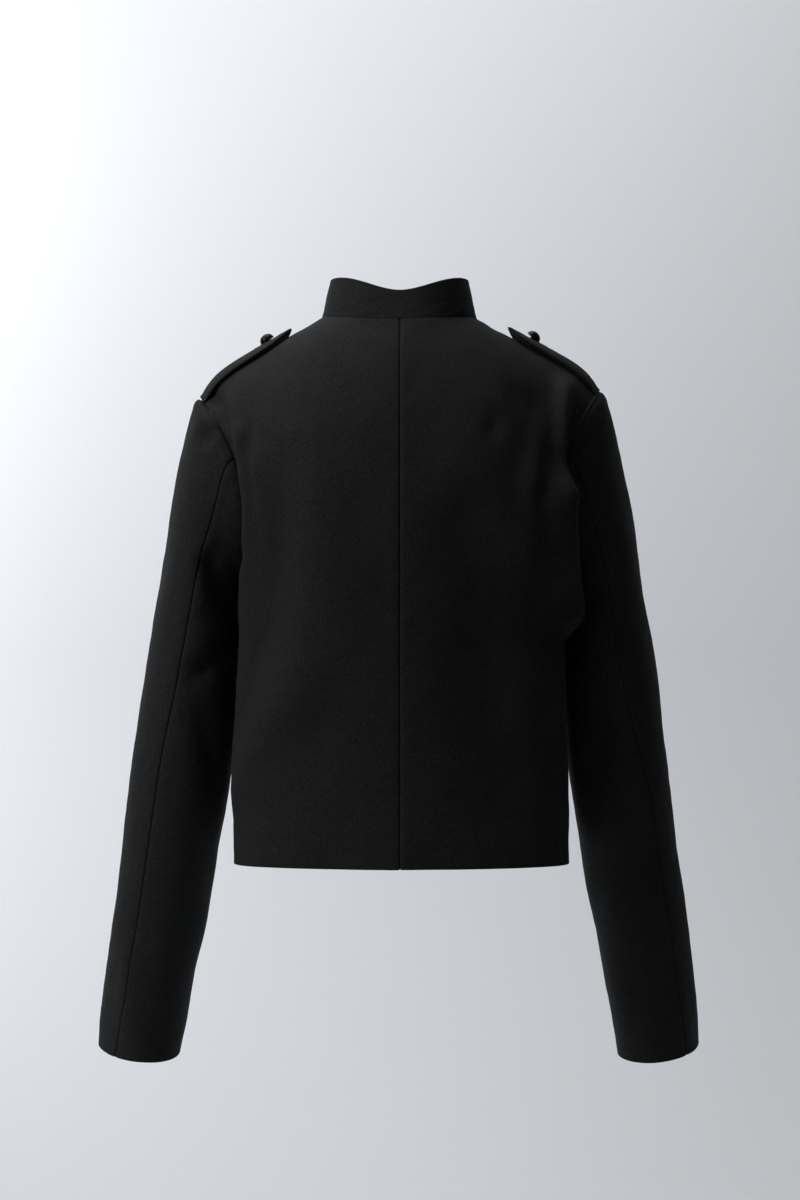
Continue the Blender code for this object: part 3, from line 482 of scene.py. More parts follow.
# Round the edge of a wall, from its outer to its inner side: place across it from 1 to -1, and how far it stands out
EDGE = table("up out", ((0.91, 0.42), (0.57, 0.82), (0.0, 1.0), (-0.57, 0.82), (-0.91, 0.42)))
TWO_LAYER_EDGE = table(
    "up out", ((0.84, 0.60), (0.52, 1.0), (0.18, 0.80), (0.0, -0.9), (-0.18, 0.80), (-0.52, 1.0), (-0.84, 0.60))
)


# How far the bend level with the underarm is rounded: share across, share up, and times. The same for straps
SOFT_ACROSS = 0.06
SOFT_UP = 0.16
SOFT_TIMES = 90
STRAP_SOFT_TIMES = 60

# Twill and its colours
TWILL_ANGLE = math.radians(62.0)
TWILL_SCALE = 0.314 / 0.0009  # one rib every 0.9 mm
SPECKLE_SCALE = 620.0
PATCH_SCALE = 14.0
FIBRE_SCALE = 1500.0
CLOTH_DARK = (0.0052, 0.0054, 0.0058)
CLOTH_MIDDLE = (0.0122, 0.0125, 0.0131)
CLOTH_LIGHT = (0.0245, 0.0252, 0.0262)
CLOTH_SHEEN = 0.015

# Straps and sewing
STRAP_CROWN = 0.0004
STITCH_INSET = 0.0052
STITCH_GROOVE = 0.0004
STITCH_SHAPE = ((0.0, 0.25), (0.12, 0.8), (0.35, 1.0), (0.65, 1.0), (0.88, 0.8), (1.0, 0.25))
HOLE_LENGTH = 0.0185
HOLE_WIDTH = 0.0022

# Studio and camera
CAMERA_DISTANCE = 3.0
CAMERA_Z = -0.2707
VIEW_HEIGHT = 1.152  # metres seen from top to bottom of the picture, at the jacket's middle
FLOOR_Z = -1.35
STAGE_NEAR = 1.4
STAGE_WALL = -1.6
STAGE_SWEEP = 1.0
STAGE_TOP = 4.0
STAGE_HALF = 6.0
STAGE_COLOUR = (0.81, 0.83, 0.86)
WORLD_LIGHT = 0.01
KEY_POWER = 52.0
TOP_POWER = 16.0
WALL_POWER = 24.0
SIDE_POWER = 2.4
SIDE_SPREAD = math.radians(110)
FILL_POWER = 1.2


def hermite(start, start_slope, end, end_slope, t):
    rest = 1 - t
    return (
        (1 + 2 * t) * rest**2 * start
        + t * rest**2 * start_slope
        + t**2 * (3 - 2 * t) * end
        - t**2 * rest * end_slope
    )


def bezier(a, b, c, d, t):
    rest = 1 - t
    return rest**3 * a + 3 * rest**2 * t * b + 3 * rest * t**2 * c + t**3 * d


def ease(t):
    """0 up to t = 0, 1 from t = 1 on, and smooth between."""
    t = np.clip(t, 0.0, 1.0)
    return t * t * (3 - 2 * t)


def read(rows, column, at, by="v"):
    """A table's column at any place between its rows, on a smooth curve through them."""
    places, values = rows[by], rows[column]
    slopes = np.gradient(values, places)
    at = np.clip(at, places[0], places[-1])
    row = np.clip(np.searchsorted(places, at) - 1, 0, len(places) - 2)
    span = places[row + 1] - places[row]
    return hermite(
        values[row],
        slopes[row] * span,
        values[row + 1],
        slopes[row + 1] * span,
        (at - places[row]) / span,
    )


def centre_point(face, v):
    return np.array([0.0, read(CENTRE[face], "y", v), read(CENTRE[face], "z", v)])


def armhole_point(side, face, up):
    """Points of the armhole seam, from the underarm (up = 0) to the shoulder point (1), with x outwards."""
    turn = math.pi * (1 - up)
    level = (1 + np.cos(turn)) / 2
    on_back = np.asarray(face) == BACK
    x = np.where(on_back, read(ARMHOLE, "back", level, "level"), read(ARMHOLE, "front", level, "level"))
    y = np.where(on_back, ARMHOLE_DEPTH[BACK], -ARMHOLE_DEPTH[FRONT]) * np.sin(turn)
    return np.stack([x, y, UNDERARM_Z + (SHOULDER_Z[side] - UNDERARM_Z) * level], axis=-1)


def side_point(side, face, v):
    """A point of the panel's outer edge: the side seam up to the underarm, then the armhole."""
    if v > UNDERARM:
        return armhole_point(side, face, v - UNDERARM)
    return np.array([read(SIDE_SEAM, "x", v), 0.0, HEM_Z + (UNDERARM_Z - HEM_Z) * v])


def level_line(side, face, across, v):
    """Points across a panel from its middle (0) to its side (1), at one level."""
    middle, end = centre_point(face, v), side_point(side, face, v)
    swell = read(ACROSS[face], "left" if side == LEFT else "right", v)
    corner_y = end[1] + face * read(ACROSS[face], "round", v)
    x = bezier(0.0, read(ACROSS[face], "reach", v) * end[0], end[0] + swell, end[0], across)
    y = bezier(middle[1], middle[1], corner_y, end[1], across)
    z = middle[2] + (end[2] - middle[2]) * across**2
    return np.stack([x, y, z], axis=-1)


def neck_line(face, turn):
    """The neck seam, from the middle (turn = 0) to the shoulder (a quarter turn)."""
    cosine = np.cos(turn)
    z = NECK_Z[face] * cosine**2
    return np.stack([NECK_X * np.sin(turn), NECK_Y[face] * cosine, z], axis=-1)


def top_line(side, face, across):
    """A panel's top edge: the neck seam, then the shoulder seam."""
    neck = neck_line(face, math.pi / 2 * np.minimum(across / NECK_ACROSS, 1.0))
    out = np.clip((across - NECK_ACROSS) / (1 - NECK_ACROSS), 0.0, 1.0)
    x = NECK_X + (SHOULDER_X - NECK_X) * out
    z = SHOULDER_Z[side] * read(SHOULDER_LINE, "fall", x, "x")
    shoulder = np.stack([x, np.zeros_like(x), z], axis=-1)
    return np.where((across <= NECK_ACROSS)[:, None], neck, shoulder)


def neck_facing(side, face, across, near_middle, middle_slope):
    """Which way a panel faces along its top edge, so that it turns evenly from its middle to the shoulder."""
    middle = unit(face * np.array([0.0, middle_slope[2], -middle_slope[1]]))
    fall = SHOULDER_Z[side] * read(SHOULDER_LINE, "fall", NECK_X + STEP, "x") / STEP
    shoulder = unit(np.array([-fall, 0.0, 1.0]))
    facing = near_middle * middle + (1 - near_middle) * shoulder
    along = unit(top_line(side, face, across + EDGE_STEP) - top_line(side, face, across - EDGE_STEP))
    return facing - (facing * along).sum(axis=1)[:, None] * along


def over_shoulder(side, face, across, v):
    """Points across a panel where it turns over the shoulder, between the yoke level and the top edge."""
    length = SHOULDER - YOKE
    start = level_line(side, face, across, YOKE)
    start_slope = (start - level_line(side, face, across, YOKE - STEP)) / STEP * length
    end = top_line(side, face, across)
    middle_slope = (centre_point(face, SHOULDER) - centre_point(face, SHOULDER - STEP)) / STEP * length
    near_middle = np.cos(math.pi / 2 * np.minimum(across / NECK_ACROSS, 1.0))[:, None]
    facing = neck_facing(side, face, across, near_middle, middle_slope)
    end_slope = np.zeros_like(start)
    flat = OVER_NECK[face] + (OVER_SHOULDER - OVER_NECK[face]) * ease((across - NECK_ACROSS) / OVER_NECK_FADE)
    end_slope[:, 1] = near_middle[:, 0] * middle_slope[1] - (1 - near_middle[:, 0]) * flat * start[:, 1]
    end_slope[:, 2] = -facing[:, 1] * end_slope[:, 1] / facing[:, 2]
    return hermite(start, start_slope, end, end_slope, (v - YOKE) / length)


def panel_line(side, face, across, v):
    """Points of a body panel's outer surface at one level. Past the middle, across is below 0."""
    far = np.abs(across)
    lines = {}
    for where in (side, -side):
        if v <= YOKE:
            line = level_line(where, face, far, v)
        else:
            ends = over_shoulder(where, face, np.array([0.0, 1.0]), v)
            line = over_shoulder(where, face, far, v)
            line = line + (1 - far[:, None]) ** 3 * (centre_point(face, v) - ends[0])
            line = line + far[:, None] ** 3 * (side_point(where, face, v) - ends[1])
        lines[where] = line * (where, 1, 1)
    return np.where((across < 0)[:, None], lines[-side], lines[side])


def finer(places, parts, close_to):
    """Each stretch between places cut into parts, with a few more places close to those numbered in close_to."""
    steps = np.arange((len(places) - 1) * parts + 1) / parts
    fine = [np.interp(steps, np.arange(len(places)), places)]
    for k in close_to:
        for neighbour in (k - 1, k + 1):
            if 0 <= neighbour < len(places):
                fine.append(places[k] + (places[neighbour] - places[k]) / parts * CLOSE_STEPS)
    return np.unique(np.round(np.concatenate(fine), 10))


def panel_columns(face):
    """Places across a panel: along the neck, then along the shoulder, closer together near the armhole."""
    if face == FRONT:
        lap = np.linspace(-LAP_ACROSS, LAP_ACROSS, LAP_COLUMNS + 1)
        rest = np.linspace(LAP_ACROSS, NECK_ACROSS, NECK_COLUMNS[face] + 1)
        neck = np.concatenate([lap, rest[1:]])
    else:
        neck = np.linspace(0.0, NECK_ACROSS, NECK_COLUMNS[face] + 1)
    left = 1 - np.linspace(0.0, 1.0, SHOULDER_COLUMNS + 1)[1:]
    shoulder = NECK_ACROSS + (1 - NECK_ACROSS) * (1 - left**CLOSER_OUT)
    places = np.concatenate([neck, shoulder])
    return finer(places, FINER, (0, len(places) - 1))


def armhole_ups(face):
    """Places up the armhole, close together at the shoulder and where a sleeve seam meets it."""
    sleeve_seam = HALF_TURN - BACK_SEAM if face == BACK else FRONT_SEAM - HALF_TURN
    return finer(np.linspace(0.0, 1.0, ARMHOLE_ROWS + 1), FINER, (sleeve_seam, ARMHOLE_ROWS))


def panel_rows(face):
    below = finer(np.linspace(0.0, UNDERARM, SIDE_ROWS + 1), FINER, (0,))
    return np.concatenate([below, UNDERARM + armhole_ups(face)[1:]])


def sleeve_columns(word):
    """Columns of a sleeve piece, the same as the places up the armhole that it is sewn to."""
    back = HALF_TURN * (1 - armhole_ups(BACK)[::-1])
    front = HALF_TURN * (1 + armhole_ups(FRONT))
    if word == "upper":
        ahead, behind = front[front > FRONT_SEAM - 1e-6] - 2 * HALF_TURN, back[back < BACK_SEAM + 1e-6]
    else:
        ahead, behind = back[back > BACK_SEAM - 1e-6], front[front < FRONT_SEAM + 1e-6]
    return np.concatenate([ahead, behind[1:]])


def sleeve_angles(side, s, columns):
    """Degrees round a sleeve ring for its columns, so that two of them run along the seams."""
    seam = read(SLEEVE, "seam_left" if side == LEFT else "seam_right", s, "s")
    front = read(SLEEVE, "seam_front", s, "s")
    known = (FRONT_SEAM - 2 * HALF_TURN, 0, BACK_SEAM, HALF_TURN, FRONT_SEAM, 2 * HALF_TURN)
    return np.interp(columns, known, (front - 360, 0, seam, 180, front, 360))


def sleeve_ring(side, s, columns):
    """Points round a sleeve, from the upper arm (s = 0) to the cuff (1), with x outwards."""
    angle = np.radians(sleeve_angles(side, s, columns))
    turn, tilt, lean = (math.radians(read(SLEEVE, name, s, "s")) for name in ("turn", "tilt", "lean"))
    wide = read(SLEEVE, "wide", s, "s") * np.cos(angle)
    deep = read(SLEEVE, "deep", s, "s") * np.sin(angle)
    out = wide * math.cos(turn) - deep * math.sin(turn)
    back = wide * math.sin(turn) + deep * math.cos(turn)
    x = read(SLEEVE, "left" if side == LEFT else "right", s, "s")
    middle = np.array([x, read(SLEEVE, "y", s, "s"), read(SLEEVE, "z", s, "s")])
    outwards = np.array([math.cos(tilt), 0.0, math.sin(tilt)])
    backwards = np.array([0.0, math.cos(lean), -math.sin(lean)])
    return middle + out[:, None] * outwards + back[:, None] * backwards


def sleeve_cap(side, t, columns):
    """Points round the sleeve cap, from the armhole seam (t = 0) to the upper arm (1), with x outwards."""
    near_seam = ease(1 - np.abs(columns - BACK_SEAM) / SEAM_BOW_SPREAD)
    columns = columns + SEAM_BOW * math.sin(math.pi * t) ** 2 * near_seam
    wrapped = np.mod(columns, 2 * HALF_TURN)
    seam = armhole_point(side, np.where(wrapped <= HALF_TURN, BACK, FRONT), np.abs(1 - wrapped / HALF_TURN))
    ring = sleeve_ring(side, 0.0, columns)
    turn = math.pi * wrapped / HALF_TURN
    level, sideways = np.cos(turn), np.sin(turn)
    far, out, up, reach = (read(CAP_LEAVES, name, level, "level") for name in ("far", "out", "up", "reach"))
    away = np.stack([out, CAP_LEAVES_BACK * sideways, up], axis=-1)
    reach = reach * np.linalg.norm(ring - seam, axis=1)
    down = unit(sleeve_ring(side, STEP, columns) - ring)
    return bezier(seam, seam + far[:, None] * away, ring - reach[:, None] * down, ring, t)


def sleeve_grid(side, columns):
    """A sleeve piece's points, row by row from the armhole to the cuff, and their places and fade for folds."""
    cap = finer(np.linspace(0.0, 1.0, CAP_ROWS + 1), FINER, (0,))
    arm = finer(np.linspace(0.0, 1.0, ARM_ROWS + 1), FINER, (ARM_ROWS,))[1:]
    points = [sleeve_cap(side, t, columns) for t in cap] + [sleeve_ring(side, s, columns) for s in arm]
    places = [sleeve_angles(side, 0.0, columns) / 360 for t in cap]
    places += [sleeve_angles(side, s, columns) / 360 for s in arm]
    fade = np.concatenate([ease(cap / FOLD_FADE_CAP), np.ones(len(arm))])
    return np.array(points) * (side, 1, 1), np.array(places), fade[:, None]


def collar_top(face, turn):
    """The collar's top edge, from the middle (turn = 0) to the side (a quarter turn)."""
    rise = np.abs(np.sin(turn))
    if face == BACK:
        z = COLLAR_BACK_Z + (COLLAR_SIDE_Z - COLLAR_BACK_Z) * ease(COLLAR_DIP * rise)
    else:
        z = COLLAR_FRONT_Z + (COLLAR_SIDE_Z - COLLAR_FRONT_Z) * rise**1.5
    return np.stack([COLLAR_X * np.sin(turn), COLLAR_Y[face] * np.cos(turn), z], axis=-1)


def collar_half(side, face):
    """Columns of the collar from the middle to the side, each from the neck seam up to the top edge."""
    columns = panel_columns(face)
    columns = columns[(columns >= 0) & (columns <= NECK_ACROSS + 1e-9)]
    turn = math.pi / 2 * columns / NECK_ACROSS
    low, high = neck_line(face, turn), collar_top(face, turn)
    if face == FRONT:
        from_end = NECK_X * turn
        short = COLLAR_CORNER - np.sqrt(COLLAR_CORNER**2 - np.clip(COLLAR_CORNER - from_end, 0, None) ** 2)
        height = np.linalg.norm(high - low, axis=1)
        high = high - (high - low) * (short / height)[:, None]
    up = finer(np.linspace(0.0, 1.0, COLLAR_ROWS + 1), FINER, (0, COLLAR_ROWS))[:, None, None]
    return (low + (high - low) * up) * (side, 1, 1)


def collar_grid():
    """The collar's points, row by row upwards, from its right front end round the back to its left."""
    right_front = collar_half(RIGHT, FRONT)
    right_back = collar_half(RIGHT, BACK)[:, ::-1]
    left_back = collar_half(LEFT, BACK)
    left_front = collar_half(LEFT, FRONT)[:, ::-1]
    return np.concatenate([right_front, right_back[:, 1:], left_back[:, 1:], left_front[:, 1:]], axis=1)


def fold_heights(folds, across, z, girth):
    """How far the folds lift each point. Each is a soft ridge or trough along the line between two places."""
    total = np.zeros_like(z)
    for across0, z0, across1, z1, width, height in zip(*folds.values()):
        run_across, run_up = (across1 - across0) * girth, z1 - z0
        from_across, from_up = (across - across0) * girth, z - z0
        share = (from_across * run_across + from_up * run_up) / (run_across**2 + run_up**2)
        share = np.clip(share, 0.0, 1.0)
        apart = np.hypot(from_across - share * run_across, from_up - share * run_up)
        total = total + height * np.exp(-((apart / width) ** 2))
    return total


def shared_points(grids):
    """A number for the place of every point of some grids, the same number where pieces meet."""
    points = np.concatenate([grid.reshape(-1, 3) for grid in grids])
    places = np.round(points / SAME_PLACE + 0.37).astype(np.int64)
    return np.unique(places, axis=0, return_inverse=True)[1].reshape(-1)


def split_like(grids, values):
    """A list of values, one for each point of all the grids, as one array for each grid."""
    ends = np.cumsum([grid.shape[0] * grid.shape[1] for grid in grids])[:-1]
    return [part.reshape(grid.shape[:2] + (-1,)) for grid, part in zip(grids, np.split(values, ends))]


def unit(vectors):
    return vectors / np.maximum(np.linalg.norm(vectors, axis=-1), 1e-12)[..., None]


def grid_faces(grids, flips):
    """The four corners of each face of all the grids, as points of the one list, and its area as a vector."""
    corners, areas, start = [], [], 0
    for grid, flip in zip(grids, flips):
        rows, columns = grid.shape[:2]
        index = start + np.arange(rows * columns).reshape(rows, columns)
        start += rows * columns
        quads = (index[:-1, :-1], index[:-1, 1:], index[1:, 1:], index[1:, :-1])
        corners.append(np.stack(quads, axis=-1).reshape(-1, 4))
        area = np.cross(grid[1:, 1:] - grid[:-1, :-1], grid[1:, :-1] - grid[:-1, 1:])
        areas.append(area.reshape(-1, 3) * (-0.5 if flip else 0.5))
    return np.concatenate(corners), np.concatenate(areas)


def shared_normals(grids, flips):
    """Normals of each grid, the same where pieces meet, and how much longer than its thickness the way
    through the cloth is there. At a sharp seam the normal leans evenly from the faces on both sides."""
    same = shared_points(grids)
    corners, areas = grid_faces(grids, flips)
    place = same[corners].reshape(-1)
    faces = np.repeat(areas, 4, axis=0)
    normals = np.zeros((same.max() + 1, 3))
    np.add.at(normals, place, faces)
    normals, faces = unit(normals), unit(faces)
    seen = np.linalg.norm(faces, axis=1) > 0.5
    place, faces = place[seen], faces[seen]
    for k in range(MITRE_ROUNDS + 1):
        facing = (normals[place] * faces).sum(axis=1)
        least = np.ones(len(normals))
        np.minimum.at(least, place, facing)
        if k < MITRE_ROUNDS:
            push = np.zeros_like(normals)
            worst = (facing < least[place] + 1e-6) & (least[place] < SHARP_SEAM)
            np.add.at(push, place[worst], faces[worst])
            normals = unit(normals + unit(push) * (least < SHARP_SEAM)[:, None] / (3 + k))
    longer = 1 / np.clip(least, SHARPEST_MITRE, 1.0)
    return split_like(grids, normals[same]), split_like(grids, longer[same])


def inwards(grid):
    """At the points of a grid's four edges, the way into the piece, square to the edge."""
    ways = np.zeros_like(grid)
    for line, way in ((grid, ways), (grid.swapaxes(0, 1), ways.swapaxes(0, 1))):
        for edge, inside in ((0, 1), (-1, -2)):
            along = unit(np.gradient(line[edge], axis=0))
            into = line[inside] - line[edge]
            way[edge] += unit(into - (into * along).sum(axis=1)[:, None] * along)
    return ways


def seam_pulls(grids):
    """Moves that draw each piece half a seam gap back from the pieces that it meets."""
    same = shared_points(grids)
    own = np.concatenate([inwards(grid).reshape(-1, 3) for grid in grids])
    edge = np.linalg.norm(own, axis=1) > 0
    total = np.zeros((same.max() + 1, 3))
    np.add.at(total, same[edge], own[edge])
    meeting = np.bincount(same[edge], minlength=len(total))[same]
    others = total[same] - own
    alone = np.linalg.norm(others, axis=1) < 1e-6
    others[alone] = -own[alone]
    apart = unit(unit(own) - unit(others)) * edge[:, None]
    return split_like(grids, apart * np.sqrt(np.maximum(meeting - 1, 1))[:, None] * SEAM_GAP / 2)


def shoulder_lines(side, x):
    """Lines over the shoulder from back to front, one for each distance x out along the shoulder seam."""
    across = NECK_ACROSS + (1 - NECK_ACROSS) * (x - NECK_X) / (SHOULDER_X - NECK_X)
    levels = np.linspace(YOKE, SHOULDER, OVER_SHOULDER_POINTS)
    back = [panel_line(side, BACK, across, v) for v in levels]
    front = [panel_line(side, FRONT, across, v) for v in levels[-2::-1]]
    return np.array(back + front).swapaxes(0, 1)


def strap_grid(side):
    """The shoulder under a strap, point for point, and the strap's underside and thickness over it."""
    places = finer(np.linspace(0.0, 1.0, STRAP_ROWS + 1), FINER, (0, STRAP_ROWS))
    x = read(STRAP, "x", places, "s")
    short = np.clip(1 - (x - x[-1]) / STRAP_ROUNDING, 0.0, 1.0)
    half = STRAP_END_HALF_WIDTH + (STRAP_HALF_WIDTH - STRAP_END_HALF_WIDTH) * np.sqrt(1 - short**2)
    shares = finer(np.linspace(-1.0, 1.0, STRAP_COLUMNS + 1), FINER, (0, STRAP_COLUMNS))
    points = []
    for line, wide in zip(shoulder_lines(side, x), half):
        order = np.argsort(line[:, 1])
        y = shares * wide
        points.append(np.stack([np.interp(y, line[order, 1], line[order, k]) for k in range(3)], axis=-1))
    return np.array(points), read(STRAP, "lift", places, "s"), read(STRAP, "thick", places, "s")


def crease_heights(creases, across, z, girth):
    """How far the creases lift each point. Each is a bowed line that tapers to both ends."""
    total = np.zeros_like(z)
    for across0, z0, across1, z1, bow, width, height in zip(*creases.values()):
        run_across, run_up = (across1 - across0) * girth, z1 - z0
        length = math.hypot(run_across, run_up)
        from_across, from_up = (across - across0) * girth, z - z0
        share = (from_across * run_across + from_up * run_up) / length**2
        aside = (from_up * run_across - from_across * run_up) / length
        aside = aside - bow * (1 - (2 * share - 1) ** 2)
        along = ease(np.minimum(share + 0.15, 1.15 - share) / 0.45)
        total = total + height * along * np.exp(-((aside / width) ** 2))
        total = total - 0.35 * height * along * np.exp(-(((aside - 2.1 * width) / (1.2 * width)) ** 2))
    return total


def uneven(points):
    """Soft waves through space, the same for every piece, so that they run on across the seams."""
    chance = np.random.default_rng(7)
    total = np.zeros(points.shape[:2])
    for length, height in UNEVEN:
        for _ in range(WAVES):
            way = unit(chance.normal(size=3)) * 2 * math.pi / (length * chance.uniform(0.75, 1.35))
            total += height * math.sqrt(2 / WAVES) * np.sin(points @ way + chance.uniform(0, 2 * math.pi))
    return total


def edge_distances(points):
    """Metres along the cloth from a grid's four edges: its first and last column, and its low and high row."""
    along = np.zeros(points.shape[:2])
    along[:, 1:] = np.cumsum(np.linalg.norm(np.diff(points, axis=1), axis=2), axis=1)
    up = np.zeros(points.shape[:2])
    up[1:] = np.cumsum(np.linalg.norm(np.diff(points, axis=0), axis=2), axis=0)
    return {"first": along, "last": along[:, -1:] - along, "low": up, "high": up[-1:] - up}


def seam_relief(points, seams, shallow):
    """The groove of each seam and the puckers and turned cloth beside it."""
    distances = edge_distances(points)
    groove = np.zeros(points.shape[:2])
    beside = np.zeros(points.shape[:2])
    for edge in seams:
        away = distances[edge]
        depth = COLLAR_SEAM if edge in shallow else 1.0
        groove = np.maximum(groove, depth * np.exp(-away / SEAM_WIDTH))
        step = 1 - ease((away - ALLOWANCE_WIDTH) / 0.004)
        beside = np.maximum(beside, step)
        along = points @ np.array((0.61, 0.43, 1.0))
        wave = np.sin(along * 2 * math.pi / PUCKER_LENGTH) + 0.7 * np.sin(along * 2 * math.pi / (1.63 * PUCKER_LENGTH))
        groove_side = np.exp(-(((away - PUCKER_WIDTH) / PUCKER_WIDTH) ** 2))
        beside = beside + PUCKER_HEIGHT / ALLOWANCE_HEIGHT * wave * groove_side * ease(away / PUCKER_WIDTH)
    return ALLOWANCE_HEIGHT * beside - SEAM_DEPTH * groove


def softened(points, near, times):
    """The same points with the bends from row to row rounded, as far as near says. The end rows stay."""
    points = points.copy()
    for _ in range(times):
        middle = (points[:-2] + points[2:]) / 2
        points[1:-1] += 0.6 * near[1:-1] * (middle - points[1:-1])
    return points


def cut_pieces():
    """Every cloth piece but the straps, with its grid, the folds and creases that lift it, and its edges."""
    pieces = []
    for face, word in ((BACK, "back"), (FRONT, "front")):
        columns, rows = panel_columns(face), panel_rows(face)
        for side, name in ((LEFT, "left"), (RIGHT, "right")):
            points = np.array([panel_line(side, face, columns, v) for v in rows])
            near = ease((1 - columns) / SOFT_ACROSS) * ease(1 - np.abs(rows - UNDERARM) / SOFT_UP)[:, None]
            points = softened(points, near[:, :, None], SOFT_TIMES)
            first = LAP_ACROSS if face == FRONT else 0.0
            fade = ease(np.minimum(columns - first, 1 - columns) / FOLD_FADE_ACROSS)
            fade = fade * ease((SHOULDER - rows) / FOLD_FADE_UP)[:, None]
            lift = fold_heights(FOLDS[f"{word}_{name}"], columns, points[:, :, 2], PANEL_GIRTH) * fade
            far = edge_distances(points)
            near_edge = np.minimum(np.minimum(far["first"], far["last"]), far["high"])
            creases = crease_heights(CREASES[f"{word}_{name}"], columns, points[:, :, 2], PANEL_GIRTH)
            lift = lift + creases * ease(near_edge / CREASE_FADE)
            lap = np.zeros(len(columns))
            if face == FRONT:
                lap = (1 - ease((columns - LAP_ACROSS) / LAP_FADE)) * LAP_LIFT * -side
            seams = ("last", "high") if face == FRONT else ("first", "last", "high")
            pieces.append({
                "name": f"{word}_{name}", "points": points, "flip": side * face > 0, "lift": lift, "lap": lap,
                "seams": seams, "shallow": ("high",), "hem": "low", "slot": f"{word}_cloth",
            })
    for side, name in ((LEFT, "left"), (RIGHT, "right")):
        for word in ("upper", "under"):
            points, places, fade = sleeve_grid(side, sleeve_columns(word))
            places = np.mod(places, 1.0)
            lift = fold_heights(FOLDS[f"sleeve_{name}"], places, points[:, :, 2], SLEEVE_GIRTH)
            lift = lift + crease_heights(CREASES[f"sleeve_{name}"], places, points[:, :, 2], SLEEVE_GIRTH)
            pieces.append({
                "name": f"sleeve_{name}_{word}", "points": points, "flip": side > 0, "lift": lift * fade,
                "lap": np.zeros(points.shape[1]), "seams": ("first", "last", "low"), "shallow": (), "hem": "high",
                "slot": "sleeve_cloth",
            })
    points = collar_grid()
    pieces.append({
        "name": "collar", "points": points, "flip": True, "lift": np.zeros(points.shape[:2]),
        "lap": np.zeros(points.shape[1]), "seams": ("low",), "shallow": ("low",), "hem": "high",
        "slot": "collar_cloth",
    })
    return pieces


def sleeve_head(piece):
    """The fuller cloth just below the armhole seam, over the top half of a sleeve."""
    if not piece["name"].startswith("sleeve"):
        return 0.0
    away = edge_distances(piece["points"])["low"]
    top = ease((piece["points"][:1, :, 2] - UNDERARM_Z) / 0.12 - 0.15)
    return SLEEVE_HEAD_HEIGHT * top * np.exp(-(((away - SLEEVE_HEAD_PLACE) / SLEEVE_HEAD_WIDTH) ** 2)) * ease(away / 0.003)


def finish_walls(pieces):
    """Gives each piece the outer and inner points of its wall."""
    flips = [piece["flip"] for piece in pieces]
    grids = [piece["points"] for piece in pieces]
    smooth, _ = shared_normals(grids, flips)
    lifted = []
    for piece, grid, normals in zip(pieces, grids, smooth):
        lift = piece["lift"] + uneven(grid)
        lifted.append(grid + normals * lift[:, :, None])
    normals, longer = shared_normals(lifted, flips)
    for k, (piece, pull) in enumerate(zip(pieces, seam_pulls(lifted))):
        lap = piece["lap"][None, :, None]
        through = WALL * (1 + (longer[k] - 1) * (1 - np.abs(lap) / LAP_LIFT))
        base = lifted[k] + normals[k] * lap + pull
        relief = seam_relief(piece["points"], piece["seams"], piece["shallow"]) + sleeve_head(piece)
        turned = 1 - ease((edge_distances(piece["points"])[piece["hem"]] - HEM_TURN) / 0.003)
        piece["outer"] = base + normals[k] * (relief + HEM_HEIGHT * turned)[:, :, None]
        piece["inner"] = base - normals[k] * through
        piece["away"] = -inwards(lifted[k])


def rim_bulge(shape, seams):
    """1 along a grid's free edges and 0 along its seams."""
    bulge = np.ones(shape)
    edges = {"first": (slice(None), 0), "last": (slice(None), -1), "low": (0, slice(None)), "high": (-1, slice(None))}
    for edge in seams:
        bulge[edges[edge]] = 0.0
    return bulge


def wall_piece(piece, material, rim_shape=EDGE):
    """A closed wall from its outer to its inner points, with rounded free edges."""
    outer, inner = piece["outer"], piece["inner"]
    rows, columns = outer.shape[:2]
    count = rows * columns
    index = np.arange(count).reshape(rows, columns)
    quads = np.stack([index[:-1, :-1], index[:-1, 1:], index[1:, 1:], index[1:, :-1]], axis=-1).reshape(-1, 4)
    rim = np.concatenate([index[0], index[1:, -1], index[-1, -2::-1], index[-2:0:-1, 0]])
    top, bottom = outer.reshape(-1, 3)[rim], inner.reshape(-1, 3)[rim]
    bulge = rim_bulge((rows, columns), piece["seams"]).reshape(-1)[rim]
    away = unit(piece["away"].reshape(-1, 3)[rim]) * bulge[:, None]
    half = (top - bottom) / 2
    size = np.linalg.norm(half, axis=1)[:, None]
    rings = [rim]
    points = [outer.reshape(-1, 3), inner.reshape(-1, 3)]
    for k, (up, out) in enumerate(zip(*rim_shape.values())):
        points.append((top + bottom) / 2 + half * up + away * size * out)
        rings.append(2 * count + k * len(rim) + np.arange(len(rim)))
    rings.append(rim + count)
    faces = [quads, quads[:, ::-1] + count]
    for upper, lower in zip(rings, rings[1:]):
        faces.append(np.stack([np.roll(upper, -1), upper, lower, np.roll(lower, -1)], axis=-1))
    faces = np.concatenate(faces)
    if piece["flip"]:
        faces = faces[:, ::-1]
    mesh = bpy.data.meshes.new(piece["name"])
    mesh.from_pydata(np.concatenate(points).tolist(), [], faces.tolist())
    cut = cut_places(piece["points"]).reshape(-1, 2)
    cut = np.concatenate([cut, cut] + [cut[rim]] * (len(rings) - 2))
    corners = np.zeros(len(mesh.loops), np.int32)
    mesh.loops.foreach_get("vertex_index", corners)
    layer = mesh.uv_layers.new(name="cut")
    layer.data.foreach_set("uv", cut[corners].astype(np.float32).ravel())
    mesh.materials.append(material)
    mesh.shade_smooth()
    mesh.set_sharp_from_angle(angle=math.radians(SHARP_EDGE))
    made = bpy.data.objects.new(f"{piece['name']}_shell", mesh)
    bpy.context.scene.collection.objects.link(made)
    return made


def cut_places(points):
    """Where each point lies on the flat cut, in metres, for the weave."""
    far = edge_distances(points)
    return np.stack([far["first"], far["low"]], axis=-1)


